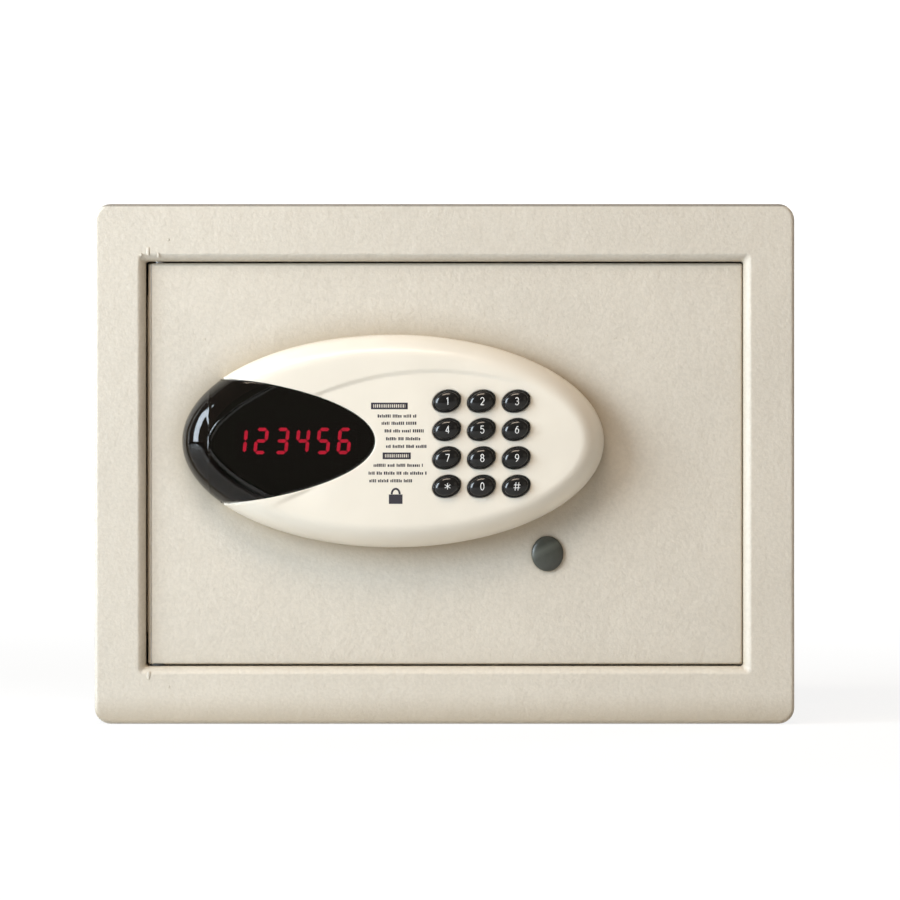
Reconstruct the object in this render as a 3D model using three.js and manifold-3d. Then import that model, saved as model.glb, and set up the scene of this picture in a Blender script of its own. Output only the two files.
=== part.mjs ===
// Hotel in-room safe: a folded steel cabinet, a recessed steel door with a motorised boltwork behind an
// inner cover, and an oval electronic panel with a smoked display lens and twelve keys.
// Millimetres, +Z up, the front faces -Y. The origin is the centre of the cabinet's underside.
import * as THREE from "three";
import { mergeVertices } from "three/addons/utils/BufferGeometryUtils.js";
import Module from "manifold-3d";

const wasm = await Module();
wasm.setup();

// ---------- driving dimensions ----------
const WIDTH = 350;
const HEIGHT = 260;
const DEPTH = 250;
const SHEET = 2; // cabinet steel
const CORNER_R = 8; // cabinet corners, seen from the front
const SIDE_BAR = 25.5; // front frame, left and right
const END_BAR = 28.75; // front frame, top and bottom
const BEND_R = 4; // outer radius of the bend at the door opening
const JAMB_DEPTH = 18; // front face to the jamb's inner edge
const EDGE_R = 1.6; // rounding of the front frame's outer edge
const FLOAT = 0.1; // gap left between pieces that touch, so that each is a body of its own
const CLEAR = 1; // how far a cutting tool runs past what it cuts

const DOOR_RECESS = 4;
const DOOR_T = 4;
const HINGE_GAP = 2;
const LOCK_GAP = 0.7;
const END_GAP = 1.25;
const HINGE_INSET = 4.5; // hinge axis from the door's edge, and behind its front face
const DOOR_EDGE_R = 0.8;

const PANEL_X = -25.75;
const PANEL_Z = 141.4;
const PANEL_A = 105.5; // half length
const PANEL_B = 53.25; // half height
const PANEL_H = 20; // how far the panel stands off the door
const PANEL_RIM = 3; // straight wall at the panel's foot
const PANEL_WALL = 2.5;
const PANEL_POWER = 8; // how square the dome's shoulder is

const KEY_A = 7.3;
const KEY_B = 5.4;
const KEY_TILT = THREE.MathUtils.degToRad(19);
const KEY_PITCH_X = 17.25;
const KEY_PITCH_Z = 14.1;
const KEY_X = 44.15; // middle column, from the panel's centre
const KEY_Z = -1.4; // middle of the four rows, from the panel's centre
const KEY_GAP = 0.3;
const KEY_FLANGE = 1.13; // the flange that holds a key behind the panel, as a share of the key
const KEY_FOOT = 13; // underside of a key's stem, from the door
const DOME_TOP = 11.6; // top of a rubber dome, from the door
const KEY_CROWN = 3; // how far a key's crown stands out of the panel

const BOLT_R = 9;
const BOLT_Y = -96;
const BOLT_Z = [80, 180];
const BOLT_TIP_X = 146;
const BOLT_TRAVEL = 14;

const LOCK_X = 51.5;
const LOCK_Z = 85;
const MOTOR_X = 45;
const MOTOR_Z = 140;
const COVER_BACK_Y = -76;

// ---------- derived levels ----------
const FRONT_Y = -DEPTH / 2;
const BACK_Y = DEPTH / 2;
const OPEN_X = WIDTH / 2 - SIDE_BAR;
const OPEN_Z0 = END_BAR;
const OPEN_Z1 = HEIGHT - END_BAR;
const JAMB_Y = FRONT_Y + JAMB_DEPTH;
const DOOR_Y0 = FRONT_Y + DOOR_RECESS;
const DOOR_Y1 = DOOR_Y0 + DOOR_T;
const DOOR_X0 = -OPEN_X + HINGE_GAP;
const DOOR_X1 = OPEN_X - LOCK_GAP;
const DOOR_Z0 = OPEN_Z0 + END_GAP;
const DOOR_Z1 = OPEN_Z1 - END_GAP;
const HINGE_X = DOOR_X0 + HINGE_INSET;
const HINGE_Y = DOOR_Y0 + HINGE_INSET;
const WEB_Y0 = -87; // bolt carriage web, front and back
const WEB_Y1 = -85;

const root = new THREE.Group();

// ---------- materials ----------
const finish = (colour, roughness, metalness) =>
  new THREE.MeshStandardMaterial({ color: colour, roughness, metalness });
const paint = finish(0xdad3c4, 0.5, 0.1);
const steel = finish(0xb9bcbe, 0.35, 0.9);
const brass = finish(0xc2a14d, 0.35, 0.9);
const cream = finish(0xf5efdd, 0.35, 0);
const blackGloss = finish(0x101010, 0.12, 0);
const blackPlastic = finish(0x1c1c1c, 0.5, 0);
const capGrey = finish(0x45463e, 0.4, 0);
const boardGreen = finish(0x1f5a35, 0.5, 0);
const rubber = finish(0x8a8a86, 0.8, 0);
const felt = finish(0x3b3d3f, 1, 0);
const cellWrap = finish(0x2b4a86, 0.3, 0.2);

// ---------- solids ----------
function solidOf(geometry) {
  const bare = new THREE.BufferGeometry().setAttribute("position", geometry.getAttribute("position"));
  bare.setIndex(geometry.index);
  const merged = mergeVertices(bare, 1e-4);
  const vertProperties = merged.attributes.position.array;
  const triVerts = new Uint32Array(merged.index.array);
  return new wasm.Manifold(new wasm.Mesh({ numProp: 3, vertProperties, triVerts }));
}

function geometryOf(solid) {
  const mesh = solid.getMesh();
  const geometry = new THREE.BufferGeometry();
  geometry.setAttribute("position", new THREE.BufferAttribute(mesh.vertProperties, 3));
  geometry.setIndex(new THREE.BufferAttribute(mesh.triVerts, 1));
  geometry.computeVertexNormals();
  return geometry;
}

const join = (...solids) => solids.reduce((a, b) => a.add(b));
const cut = (body, ...tools) => tools.reduce((a, b) => a.subtract(b), body);

function box([x0, x1], [y0, y1], [z0, z1]) {
  const geometry = new THREE.BoxGeometry(x1 - x0, y1 - y0, z1 - z0);
  geometry.translate((x0 + x1) / 2, (y0 + y1) / 2, (z0 + z1) / 2);
  return solidOf(geometry);
}

// A shape drawn in (x, z), as seen from the front, made solid from y0 to y1. The bevel is on both ends.
function prismY(shape, y0, y1, { bevel = 0, steps = 1, curve = 12 } = {}) {
  const geometry = new THREE.ExtrudeGeometry(shape, {
    depth: y1 - y0 - 2 * bevel,
    bevelEnabled: bevel > 0,
    bevelThickness: bevel,
    bevelSize: bevel,
    bevelOffset: -bevel,
    bevelSegments: steps,
    curveSegments: curve,
  });
  geometry.rotateX(Math.PI / 2);
  geometry.translate(0, y1 - bevel, 0);
  return solidOf(geometry);
}

// A shape drawn in (x, y) made solid from z0 to z1.
function prismZ(shape, z0, z1) {
  const geometry = new THREE.ExtrudeGeometry(shape, { depth: z1 - z0, bevelEnabled: false });
  geometry.translate(0, 0, z0);
  return solidOf(geometry);
}

// A shape drawn in (y, z) made solid from x0 to x1.
function prismX(shape, x0, x1) {
  const geometry = new THREE.ExtrudeGeometry(shape, { depth: x1 - x0, bevelEnabled: false });
  const toYZ = new THREE.Matrix4().makeBasis(
    new THREE.Vector3(0, 1, 0),
    new THREE.Vector3(0, 0, 1),
    new THREE.Vector3(1, 0, 0),
  );
  geometry.applyMatrix4(toYZ);
  geometry.translate(x0, 0, 0);
  return solidOf(geometry);
}

// A turned piece: profile is a list of [radius, distance] from one end of the axis to the other.
function turned(profile, segments = 24) {
  const points = profile.map(([r, d]) => new THREE.Vector2(r, d));
  return new THREE.LatheGeometry(points, segments);
}

// Turned along -Y, so a greater distance is further out of the door.
function turnedOut(profile, x, z, { a = 1, b = 1, tilt = 0, segments = 24, foot = DOOR_Y0 } = {}) {
  const geometry = turned(profile, segments);
  geometry.rotateX(Math.PI);
  geometry.scale(a, 1, b);
  geometry.rotateY(-tilt);
  geometry.translate(x, foot, z);
  return solidOf(geometry);
}

function turnedX(profile, y, z, segments = 24) {
  const geometry = turned(profile, segments);
  geometry.rotateZ(-Math.PI / 2);
  geometry.translate(0, y, z);
  return solidOf(geometry);
}

function turnedZ(profile, x, y, segments = 20) {
  const geometry = turned(profile, segments);
  geometry.rotateX(Math.PI / 2);
  geometry.translate(x, y, 0);
  return solidOf(geometry);
}

// A plain round bar along Y between two levels.
const barY = (r, x, z, y0, y1, segments = 24) =>
  turnedOut([[0, -y1], [r, -y1], [r, -y0], [0, -y0]], x, z, { segments, foot: 0 });
const barX = (r, y, z, x0, x1, segments = 24) =>
  turnedX([[0, x0], [r, x0], [r, x1], [0, x1]], y, z, segments);
const barZ = (r, x, y, z0, z1, segments = 24) =>
  turnedZ([[0, z0], [r, z0], [r, z1], [0, z1]], x, y, segments);

// A piece turned about an axis along Y through (x, z); distances in the profile are places along Y.
function turnedY(profile, x, z, segments = 20) {
  const geometry = turned(profile, segments);
  geometry.translate(x, 0, z);
  return solidOf(geometry);
}

// ---------- outlines ----------
function roundedRect(x0, x1, z0, z1, r) {
  const shape = new THREE.Shape();
  shape.moveTo(x0 + r, z0);
  shape.lineTo(x1 - r, z0);
  shape.absarc(x1 - r, z0 + r, r, -Math.PI / 2, 0, false);
  shape.lineTo(x1, z1 - r);
  shape.absarc(x1 - r, z1 - r, r, 0, Math.PI / 2, false);
  shape.lineTo(x0 + r, z1);
  shape.absarc(x0 + r, z1 - r, r, Math.PI / 2, Math.PI, false);
  shape.lineTo(x0, z0 + r);
  shape.absarc(x0 + r, z0 + r, r, Math.PI, Math.PI * 1.5, false);
  return shape;
}

// A round-ended slot along x, r being half its width.
function slotX(x0, x1, z, r) {
  const shape = new THREE.Shape();
  shape.absarc(x1, z, r, -Math.PI / 2, Math.PI / 2, false);
  shape.absarc(x0, z, r, Math.PI / 2, Math.PI * 1.5, false);
  return shape;
}

function ellipseOutline(x, z, a, b, tilt = 0) {
  const shape = new THREE.Shape();
  shape.absellipse(x, z, a, b, 0, 2 * Math.PI, false, tilt);
  return shape;
}

// A strip of even thickness along a polyline.
function strip(points, thickness) {
  const line = points.map(([u, v]) => new THREE.Vector2(u, v));
  const side = line.map((p, i) => {
    const before = line[Math.max(i - 1, 0)];
    const after = line[Math.min(i + 1, line.length - 1)];
    const along = after.clone().sub(before).normalize();
    return new THREE.Vector2(-along.y, along.x).multiplyScalar(thickness / 2);
  });
  const left = line.map((p, i) => p.clone().add(side[i]));
  const right = line.map((p, i) => p.clone().sub(side[i]));
  return new THREE.Shape([...right, ...left.reverse()]);
}

// Adds a piece; one that is modelled about its own axis is placed at (x, z) and turned about that axis.
function piece(name, solid, material, { x = 0, z = 0, turn = 0 } = {}) {
  const mesh = new THREE.Mesh(geometryOf(solid), material);
  mesh.name = name;
  mesh.position.set(x, 0, z);
  mesh.rotation.y = turn;
  root.add(mesh);
}

// ---------- cabinet ----------
const WALL_HOLES_X = [-100, 100];
const WALL_HOLE_Z = 180;
const FLOOR_HOLE_Y = 20;
const FIXING_R = 5;

// The cabinet's section seen from the front, drawn in from its outer face by the given inset.
const cabinetSection = (inset) =>
  roundedRect(-WIDTH / 2 + inset, WIDTH / 2 - inset, inset, HEIGHT - inset, CORNER_R - inset);

function cabinetWrap() {
  const tube = prismY(cabinetSection(0), FRONT_Y + SHEET, BACK_Y - SHEET, { curve: 4 });
  const bore = prismY(cabinetSection(SHEET), FRONT_Y, BACK_Y, { curve: 4 });
  const holes = WALL_HOLES_X.map((x) => barZ(FIXING_R, x, FLOOR_HOLE_Y, -CLEAR, SHEET + CLEAR));
  return cut(tube, bore, ...holes);
}

// One bend of the frame, from the front face round into the jamb. Drawn in (outward, y).
function bendSection() {
  const shape = new THREE.Shape();
  shape.moveTo(BEND_R, FRONT_Y);
  shape.absarc(BEND_R, FRONT_Y + BEND_R, BEND_R, -Math.PI / 2, -Math.PI, true);
  shape.lineTo(SHEET, FRONT_Y + BEND_R);
  shape.absarc(BEND_R, FRONT_Y + BEND_R, BEND_R - SHEET, Math.PI, Math.PI * 1.5, false);
  shape.lineTo(BEND_R, FRONT_Y);
  return shape;
}

// The bend as a bar of the given half length, lying along X below the opening's centre, and turned to
// each side by quarter turns.
function bendBar(halfLength, reach, quarterTurns) {
  const geometry = new THREE.ExtrudeGeometry(bendSection(), {
    depth: 2 * halfLength,
    bevelEnabled: false,
    curveSegments: 3,
  });
  const lay = new THREE.Matrix4().makeBasis(
    new THREE.Vector3(0, 0, -1),
    new THREE.Vector3(0, 1, 0),
    new THREE.Vector3(1, 0, 0),
  );
  geometry.applyMatrix4(lay);
  geometry.translate(-halfLength, 0, -reach);
  geometry.rotateY((quarterTurns * Math.PI) / 2);
  geometry.translate(0, 0, HEIGHT / 2);
  return solidOf(geometry);
}

function frontFrame() {
  const halfZ = HEIGHT / 2 - END_BAR;
  const rounded = prismY(cabinetSection(0), FRONT_Y, FRONT_Y + 2 * BEND_R, {
    bevel: EDGE_R,
    steps: 2,
    curve: 4,
  });
  const slice = box([-WIDTH, WIDTH], [FRONT_Y - CLEAR, FRONT_Y + SHEET], [-CLEAR, HEIGHT + CLEAR]);
  const beyondX = OPEN_X + BEND_R;
  const beyondZ = halfZ + BEND_R;
  const hole = box(
    [-beyondX, beyondX],
    [FRONT_Y - CLEAR, FRONT_Y + SHEET + CLEAR],
    [HEIGHT / 2 - beyondZ, HEIGHT / 2 + beyondZ],
  );
  const face = cut(rounded.intersect(slice), hole);
  const bends = [
    bendBar(beyondX, halfZ, 0),
    bendBar(beyondZ, OPEN_X, 1),
    bendBar(beyondX, halfZ, 2),
    bendBar(beyondZ, OPEN_X, 3),
  ];
  const jambOuter = box(
    [-OPEN_X - SHEET, OPEN_X + SHEET],
    [FRONT_Y + BEND_R, JAMB_Y],
    [OPEN_Z0 - SHEET, OPEN_Z1 + SHEET],
  );
  const jambInner = box([-OPEN_X, OPEN_X], [FRONT_Y, JAMB_Y + CLEAR], [OPEN_Z0, OPEN_Z1]);
  const pinHoles = barZ(
    PIN_R + FLOAT,
    HINGE_X,
    HINGE_Y,
    OPEN_Z0 - SHEET - CLEAR,
    OPEN_Z1 + SHEET + CLEAR,
    20,
  );
  return cut(join(face, ...bends, cut(jambOuter, jambInner)), pinHoles);
}

function backPanel() {
  const sheet = prismY(cabinetSection(0), BACK_Y - SHEET, BACK_Y, { curve: 4 });
  const holes = WALL_HOLES_X.map((x) =>
    barY(FIXING_R, x, WALL_HOLE_Z, BACK_Y - SHEET - CLEAR, BACK_Y + CLEAR),
  );
  return cut(sheet, ...holes);
}

// A heavy plate welded behind the jamb on the lock side, with a hole for each bolt.
const STRIKE = { gap: 0.2, thickness: 3, y0: -118, y1: -80, z0: 50, z1: 210, boltClear: 0.8 };

function strikePlate() {
  const x0 = OPEN_X + SHEET + STRIKE.gap;
  const x1 = x0 + STRIKE.thickness;
  const plate = box([x0, x1], [STRIKE.y0, STRIKE.y1], [STRIKE.z0, STRIKE.z1]);
  const holes = BOLT_Z.map((z) => barX(BOLT_R + STRIKE.boltClear, BOLT_Y, z, x0 - CLEAR, x1 + CLEAR));
  return cut(plate, ...holes);
}

const MAT = { halfX: 167.5, y0: -104, y1: 121, thickness: 2.9, holeR: 6 };

function floorMat() {
  const z0 = SHEET + FLOAT;
  const z1 = z0 + MAT.thickness;
  const mat = box([-MAT.halfX, MAT.halfX], [MAT.y0, MAT.y1], [z0, z1]);
  return cut(mat, ...WALL_HOLES_X.map((x) => barZ(MAT.holeR, x, FLOOR_HOLE_Y, z0 - CLEAR, z1 + CLEAR)));
}

// ---------- hinge ----------
const PIN_R = 2.5;
const PIN_LENGTH = 16;
const PIN_POINT = 1; // chamfer at the pin's end
const FLANGE = { radius: 5, thickness: 2 };
const BLOCK = { x0: DOOR_X0 + 0.3, x1: DOOR_X0 + 10, y0: DOOR_Y0 + 1.4, y1: DOOR_Y0 + 9.4, height: 15.5 };
const POCKET_GAP = 0.2; // between a hinge block and the door plate's pocket

// A flanged pin whose flange lies behind the jamb sheet; up is +1 for the lower pin and -1 for the upper one.
function hingePin(up) {
  const sheetZ = up > 0 ? OPEN_Z0 - SHEET - FLOAT : OPEN_Z1 + SHEET + FLOAT;
  const profile = [
    [0, -FLANGE.thickness],
    [FLANGE.radius, -FLANGE.thickness],
    [FLANGE.radius, 0],
    [PIN_R, 0],
    [PIN_R, PIN_LENGTH - PIN_POINT],
    [PIN_R - PIN_POINT, PIN_LENGTH],
    [0, PIN_LENGTH],
  ];
  const geometry = turned(profile, 20);
  geometry.rotateX((up * Math.PI) / 2);
  geometry.translate(HINGE_X, HINGE_Y, sheetZ);
  return solidOf(geometry);
}

function blockLevels(up) {
  const end = up > 0 ? DOOR_Z0 + FLOAT : DOOR_Z1 - FLOAT;
  return [end, end + up * BLOCK.height].sort((a, b) => a - b);
}

function hingeBlock(up) {
  const body = box([BLOCK.x0, BLOCK.x1], [BLOCK.y0, BLOCK.y1], blockLevels(up));
  return cut(body, barZ(PIN_R + FLOAT, HINGE_X, HINGE_Y, OPEN_Z0, OPEN_Z1, 20));
}

// A nylon washer on the lower pin carries the door's weight.
function hingeWasher() {
  const bore = PIN_R + 0.2;
  const z0 = OPEN_Z0 + FLOAT;
  const z1 = DOOR_Z0 - FLOAT;
  const profile = [
    [bore, z0],
    [FLANGE.radius, z0],
    [FLANGE.radius, z1],
    [bore, z1],
    [bore, z0],
  ];
  return turnedZ(profile, HINGE_X, HINGE_Y);
}

// ---------- door ----------
const COVER = { x0: -135.5, x1: 141, z0: 38, z1: 222, wall: 1.2, cornerR: 3 };
const POST = { inset: 8, radius: 4, tapR: 1.6, tapDepth: 10.8, clearR: 1.9 };
const POSTS = [
  [COVER.x0 + POST.inset, COVER.z0 + POST.inset],
  [COVER.x1 - POST.inset, COVER.z0 + POST.inset],
  [COVER.x0 + POST.inset, COVER.z1 - POST.inset],
  [COVER.x1 - POST.inset, COVER.z1 - POST.inset],
];
const POST_END_Y = COVER_BACK_Y - COVER.wall - FLOAT;
const CABLE_HOLE = { x: -30, z: 141, radius: 8 };
const PANEL_SCREWS = [
  [PANEL_X - 30, PANEL_Z - 43],
  [PANEL_X + 60, PANEL_Z + 36],
];
const PANEL_SCREW_R = 1.5;
const LOCK_FLANGE = { radius: 7.9, thickness: 1.3 };
const LOCK_BODY_R = 6.9;

function doorPlate() {
  const outline = roundedRect(DOOR_X0, DOOR_X1, DOOR_Z0, DOOR_Z1, DOOR_EDGE_R);
  const plate = prismY(outline, DOOR_Y0, DOOR_Y1, { bevel: DOOR_EDGE_R, curve: 1 });
  const pockets = [1, -1].map((up) => {
    const [z0, z1] = blockLevels(up);
    return box([DOOR_X0 - CLEAR, BLOCK.x1 + POCKET_GAP], [BLOCK.y0 - POCKET_GAP, DOOR_Y1 + CLEAR], [
      up > 0 ? DOOR_Z0 - CLEAR : z0 - POCKET_GAP,
      up > 0 ? z1 + POCKET_GAP : DOOR_Z1 + CLEAR,
    ]);
  });
  const posts = POSTS.map(([x, z]) => barY(POST.radius, x, z, DOOR_Y1 - CLEAR, POST_END_Y, 12));
  const tapped = POSTS.map(([x, z]) =>
    barY(POST.tapR, x, z, POST_END_Y - POST.tapDepth, POST_END_Y + CLEAR, 12),
  );
  const through = (r, x, z, segments = 24) =>
    barY(r, x, z, DOOR_Y0 - CLEAR, DOOR_Y1 + CLEAR, segments);
  const flangeSeat = barY(
    LOCK_FLANGE.radius + FLOAT,
    LOCK_X,
    LOCK_Z,
    DOOR_Y0 - CLEAR,
    DOOR_Y0 + LOCK_FLANGE.thickness + FLOAT,
  );
  const holes = [
    flangeSeat,
    through(LOCK_BODY_R + 2 * FLOAT, LOCK_X, LOCK_Z),
    through(CABLE_HOLE.radius, CABLE_HOLE.x, CABLE_HOLE.z),
    ...PANEL_SCREWS.map(([x, z]) => through(PANEL_SCREW_R + 0.7, x, z, 16)),
  ];
  return cut(join(plate, ...posts), ...pockets, ...tapped, ...holes);
}

const BATTERY = { x: -90, z: 126, halfX: 30, halfZ: 29 }; // the opening in the inner cover

function doorCover() {
  const { x0, x1, z0, z1, wall, cornerR } = COVER;
  const footY = DOOR_Y1 + 2 * FLOAT;
  const outside = prismY(roundedRect(x0, x1, z0, z1, cornerR), footY, COVER_BACK_Y, {
    bevel: 1,
    curve: 3,
  });
  const inside = prismY(
    roundedRect(x0 + wall, x1 - wall, z0 + wall, z1 - wall, cornerR - 1),
    DOOR_Y0,
    COVER_BACK_Y - wall,
    { curve: 3 },
  );
  const squareFoot = box(
    [x0 - CLEAR, x1 + CLEAR],
    [DOOR_Y0, footY + wall],
    [z0 - CLEAR, z1 + CLEAR],
  );
  const backSheet = [COVER_BACK_Y - wall - CLEAR, COVER_BACK_Y + CLEAR];
  const hatch = box(
    [BATTERY.x - BATTERY.halfX, BATTERY.x + BATTERY.halfX],
    backSheet,
    [BATTERY.z - BATTERY.halfZ, BATTERY.z + BATTERY.halfZ],
  );
  const boltHoles = BOLT_Z.map((z) => barX(BOLT_R + 0.7, BOLT_Y, z, x1 - wall - CLEAR, x1 + CLEAR));
  const screwHoles = POSTS.map(([x, z]) => barY(POST.clearR, x, z, ...backSheet, 12));
  return cut(outside, inside, squareFoot, hatch, ...boltHoles, ...screwHoles);
}

// A slotted pan-head screw; distances are from just behind the cover's back.
function coverScrew(x, z) {
  const profile = [
    [0, -9],
    [1.5, -9],
    [1.5, -0.1],
    [3.2, -0.1],
    [3.2, 0.9],
    [2.2, 1.9],
    [0, 2.1],
  ];
  const headY = COVER_BACK_Y + 2 * FLOAT;
  const screw = turnedY(
    profile.map(([r, y]) => [r, headY + y]),
    x,
    z,
    12,
  );
  const slot = box([x - 2.4, x + 2.4], [headY + 1.3, headY + 2.8], [z - 0.4, z + 0.4]);
  return cut(screw, slot);
}

// ---------- boltwork ----------
const CARRIAGE = { x0: 10, x1: 90, z0: 66, z1: 194, flange: 2, cornerR: 4 };
const RACK = { pitchR: 9, module: 1.5, tip: 1, root: 1.6, pressure: THREE.MathUtils.degToRad(20) };
const RACK_TEETH = [-5, -4, -3, -2, -1, 0, 1]; // counted from the pinion's centre
const WINDOW = { reach: 12, drop: 11.5 }; // the carriage's window round the pinion
const PINION_TEETH = 12;
const BACKLASH = 0.3;
const GUIDE_X = 70;
const GUIDE_Z = [74, 186];
const GUIDE_SLOT_R = 3.3;
const CRANK_R = BOLT_TRAVEL / 2 / Math.sin(Math.PI / 4);
const CRANK_PIN_R = 2;
const CRANK_SLOT = { halfX: CRANK_PIN_R + 0.6, z0: LOCK_Z + 3.5, z1: LOCK_Z + 13.5 };

// Rack teeth hang from the top edge of the carriage's window; the outline goes from left to right.
function rackTeeth(windowX1) {
  const pitch = Math.PI * RACK.module;
  const rootZ = MOTOR_Z + RACK.pitchR + RACK.root;
  const tipZ = rootZ - RACK.root - RACK.tip;
  const slope = Math.tan(RACK.pressure);
  const halfAtPitch = pitch / 4 - BACKLASH / 2;
  const tipHalf = halfAtPitch - RACK.tip * slope;
  return RACK_TEETH.map((place) => {
    const x = MOTOR_X + (place + 0.5) * pitch;
    const rootHalf = Math.min(halfAtPitch + RACK.root * slope, windowX1 - x);
    const tooth = new THREE.Shape();
    tooth.moveTo(x - rootHalf, rootZ + CLEAR);
    tooth.lineTo(x - rootHalf, rootZ);
    tooth.lineTo(x - tipHalf, tipZ);
    tooth.lineTo(x + tipHalf, tipZ);
    tooth.lineTo(x + rootHalf, rootZ);
    tooth.lineTo(x + rootHalf, rootZ + CLEAR);
    return prismY(tooth, WEB_Y0, WEB_Y1);
  });
}

function boltCarriage() {
  const { x0, x1, z0, z1, flange, cornerR } = CARRIAGE;
  const web = prismY(roundedRect(x0, x1 - FLOAT, z0, z1, cornerR), WEB_Y0, WEB_Y1, { curve: 3 });
  const endFlange = box([x1 - flange, x1], [BOLT_Y - BOLT_R, WEB_Y1], [z0, z1]);
  const throughWeb = [WEB_Y0 - CLEAR, WEB_Y1 + CLEAR];
  const windowX1 = MOTOR_X + WINDOW.reach;
  const window = box([MOTOR_X - BOLT_TRAVEL - WINDOW.reach, windowX1], throughWeb, [
    MOTOR_Z - WINDOW.drop,
    MOTOR_Z + RACK.pitchR + RACK.root,
  ]);
  const guideSlots = GUIDE_Z.map((z) =>
    prismY(slotX(GUIDE_X - BOLT_TRAVEL, GUIDE_X, z, GUIDE_SLOT_R), ...throughWeb),
  );
  const crankX = LOCK_X - BOLT_TRAVEL / 2;
  const crankSlot = prismY(
    roundedRect(crankX - CRANK_SLOT.halfX, crankX + CRANK_SLOT.halfX, CRANK_SLOT.z0, CRANK_SLOT.z1, 2),
    ...throughWeb,
    { curve: 3 },
  );
  return join(
    cut(join(web, endFlange), window, ...guideSlots, crankSlot),
    ...rackTeeth(windowX1),
  );
}

const BOLT_CHAMFER = 1.2;

function lockingBolt(z) {
  const x0 = CARRIAGE.x1 + FLOAT;
  const profile = [
    [0, x0],
    [BOLT_R, x0],
    [BOLT_R, BOLT_TIP_X - BOLT_CHAMFER],
    [BOLT_R - BOLT_CHAMFER, BOLT_TIP_X],
    [0, BOLT_TIP_X],
  ];
  return turnedX(profile, BOLT_Y, z);
}

// An L bracket on the door plate that carries both bolts.
const BRACKET = { x0: 128, x1: 131, footX0: 116, footT: 2.9, backY: -85.5, z0: 60, z1: 200 };

function boltGuide() {
  const { x0, x1, footX0, footT, backY, z0, z1 } = BRACKET;
  const y0 = DOOR_Y1 + FLOAT;
  const web = box([x0, x1], [y0, backY], [z0, z1]);
  const foot = box([footX0, x0 + CLEAR], [y0, y0 + footT], [z0, z1]);
  const holes = BOLT_Z.map((z) => barX(BOLT_R + 2 * FLOAT, BOLT_Y, z, x0 - CLEAR, x1 + CLEAR));
  return cut(join(web, foot), ...holes);
}

// A shouldered stud on the door plate; its neck runs in the carriage's slot and its head holds the web.
const STUD = { footR: 4.5, neckR: 3, headR: 5.2, play: 0.4, head: 1.4 };

function guideStud(z) {
  const profile = [
    [0, DOOR_Y1 + FLOAT],
    [STUD.footR, DOOR_Y1 + FLOAT],
    [STUD.footR, WEB_Y0 - STUD.play],
    [STUD.neckR, WEB_Y0 - STUD.play],
    [STUD.neckR, WEB_Y1 + STUD.play],
    [STUD.headR, WEB_Y1 + STUD.play],
    [STUD.headR, WEB_Y1 + STUD.play + STUD.head],
    [0, WEB_Y1 + STUD.play + STUD.head],
  ];
  return turnedY(profile, GUIDE_X, z, 14);
}

// ---------- motor and pinion ----------
const MOTOR_FACE_Y = -92;
const MOTOR = { startY: -114, radius: 12.5, chamfer: 1.5, noseR: 2.3, nose: 4 };
const SHAFT_R = 2;

function gearMotor() {
  const { startY, radius, chamfer, noseR, nose } = MOTOR;
  const faceY = MOTOR_FACE_Y - FLOAT;
  const profile = [
    [0, startY],
    [radius - chamfer, startY],
    [radius, startY + chamfer],
    [radius, faceY],
    [noseR, faceY],
    [noseR, MOTOR_FACE_Y - nose],
    [0, MOTOR_FACE_Y - nose],
  ];
  return turnedY(profile, MOTOR_X, MOTOR_Z);
}

// A hat-shaped bracket over the motor; its crown carries the gearbox face.
const HAT = { t: 1.5, legZ: 15, foot: 9, halfX: 12, shaftHoleR: 3.5 };

function motorBracket() {
  const { t, legZ, foot, halfX, shaftHoleR } = HAT;
  const crownY = MOTOR_FACE_Y + t;
  const baseY = DOOR_Y1 + FLOAT;
  const shape = new THREE.Shape(
    [
      [baseY, -legZ - foot],
      [baseY + t, -legZ - foot],
      [baseY + t, -legZ - t],
      [crownY, -legZ - t],
      [crownY, legZ + t],
      [baseY + t, legZ + t],
      [baseY + t, legZ + foot],
      [baseY, legZ + foot],
      [baseY, legZ],
      [MOTOR_FACE_Y, legZ],
      [MOTOR_FACE_Y, -legZ],
      [baseY, -legZ],
    ].map(([y, z]) => new THREE.Vector2(y, MOTOR_Z + z)),
  );
  const hat = prismX(shape, MOTOR_X - halfX, MOTOR_X + halfX);
  return cut(hat, barY(shaftHoleR, MOTOR_X, MOTOR_Z, MOTOR_FACE_Y - CLEAR, crownY + CLEAR));
}

// Half the angle that a pinion tooth's involute flank spans at radius r.
function toothHalfAngle(r, baseR, atPitch) {
  const involute = (angle) => Math.tan(angle) - angle;
  const here = Math.acos(Math.min(1, baseR / r));
  return atPitch + involute(RACK.pressure) - involute(here);
}

const PINION = { addendum: 1.2, y0: -89.5, y1: -83.5 };

function pinionOutline() {
  const { pitchR, module, root, pressure } = RACK;
  const baseR = pitchR * Math.cos(pressure);
  const atPitch = ((Math.PI * module) / 4 - BACKLASH / 2) / pitchR;
  const flank = [baseR, pitchR, pitchR + PINION.addendum].map((r) => ({
    r,
    half: toothHalfAngle(r, baseR, atPitch),
  }));
  const rising = [{ r: pitchR - root, half: flank[0].half }, ...flank];
  const points = [];
  const add = (r, angle) => points.push(new THREE.Vector2(r * Math.sin(angle), r * Math.cos(angle)));
  for (let i = 0; i < PINION_TEETH; i += 1) {
    const middle = (-i * 2 * Math.PI) / PINION_TEETH;
    rising.forEach(({ r, half }) => add(r, middle + half));
    [...rising].reverse().forEach(({ r, half }) => add(r, middle - half));
  }
  return new THREE.Shape(points);
}

// Modelled about its own axis.
function drivePinion() {
  const gear = prismY(pinionOutline(), PINION.y0, PINION.y1);
  const shaftFrontY = MOTOR_FACE_Y - MOTOR.nose + CLEAR;
  return join(gear, barY(SHAFT_R, 0, 0, shaftFrontY, PINION.y0 + CLEAR / 2));
}

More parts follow.
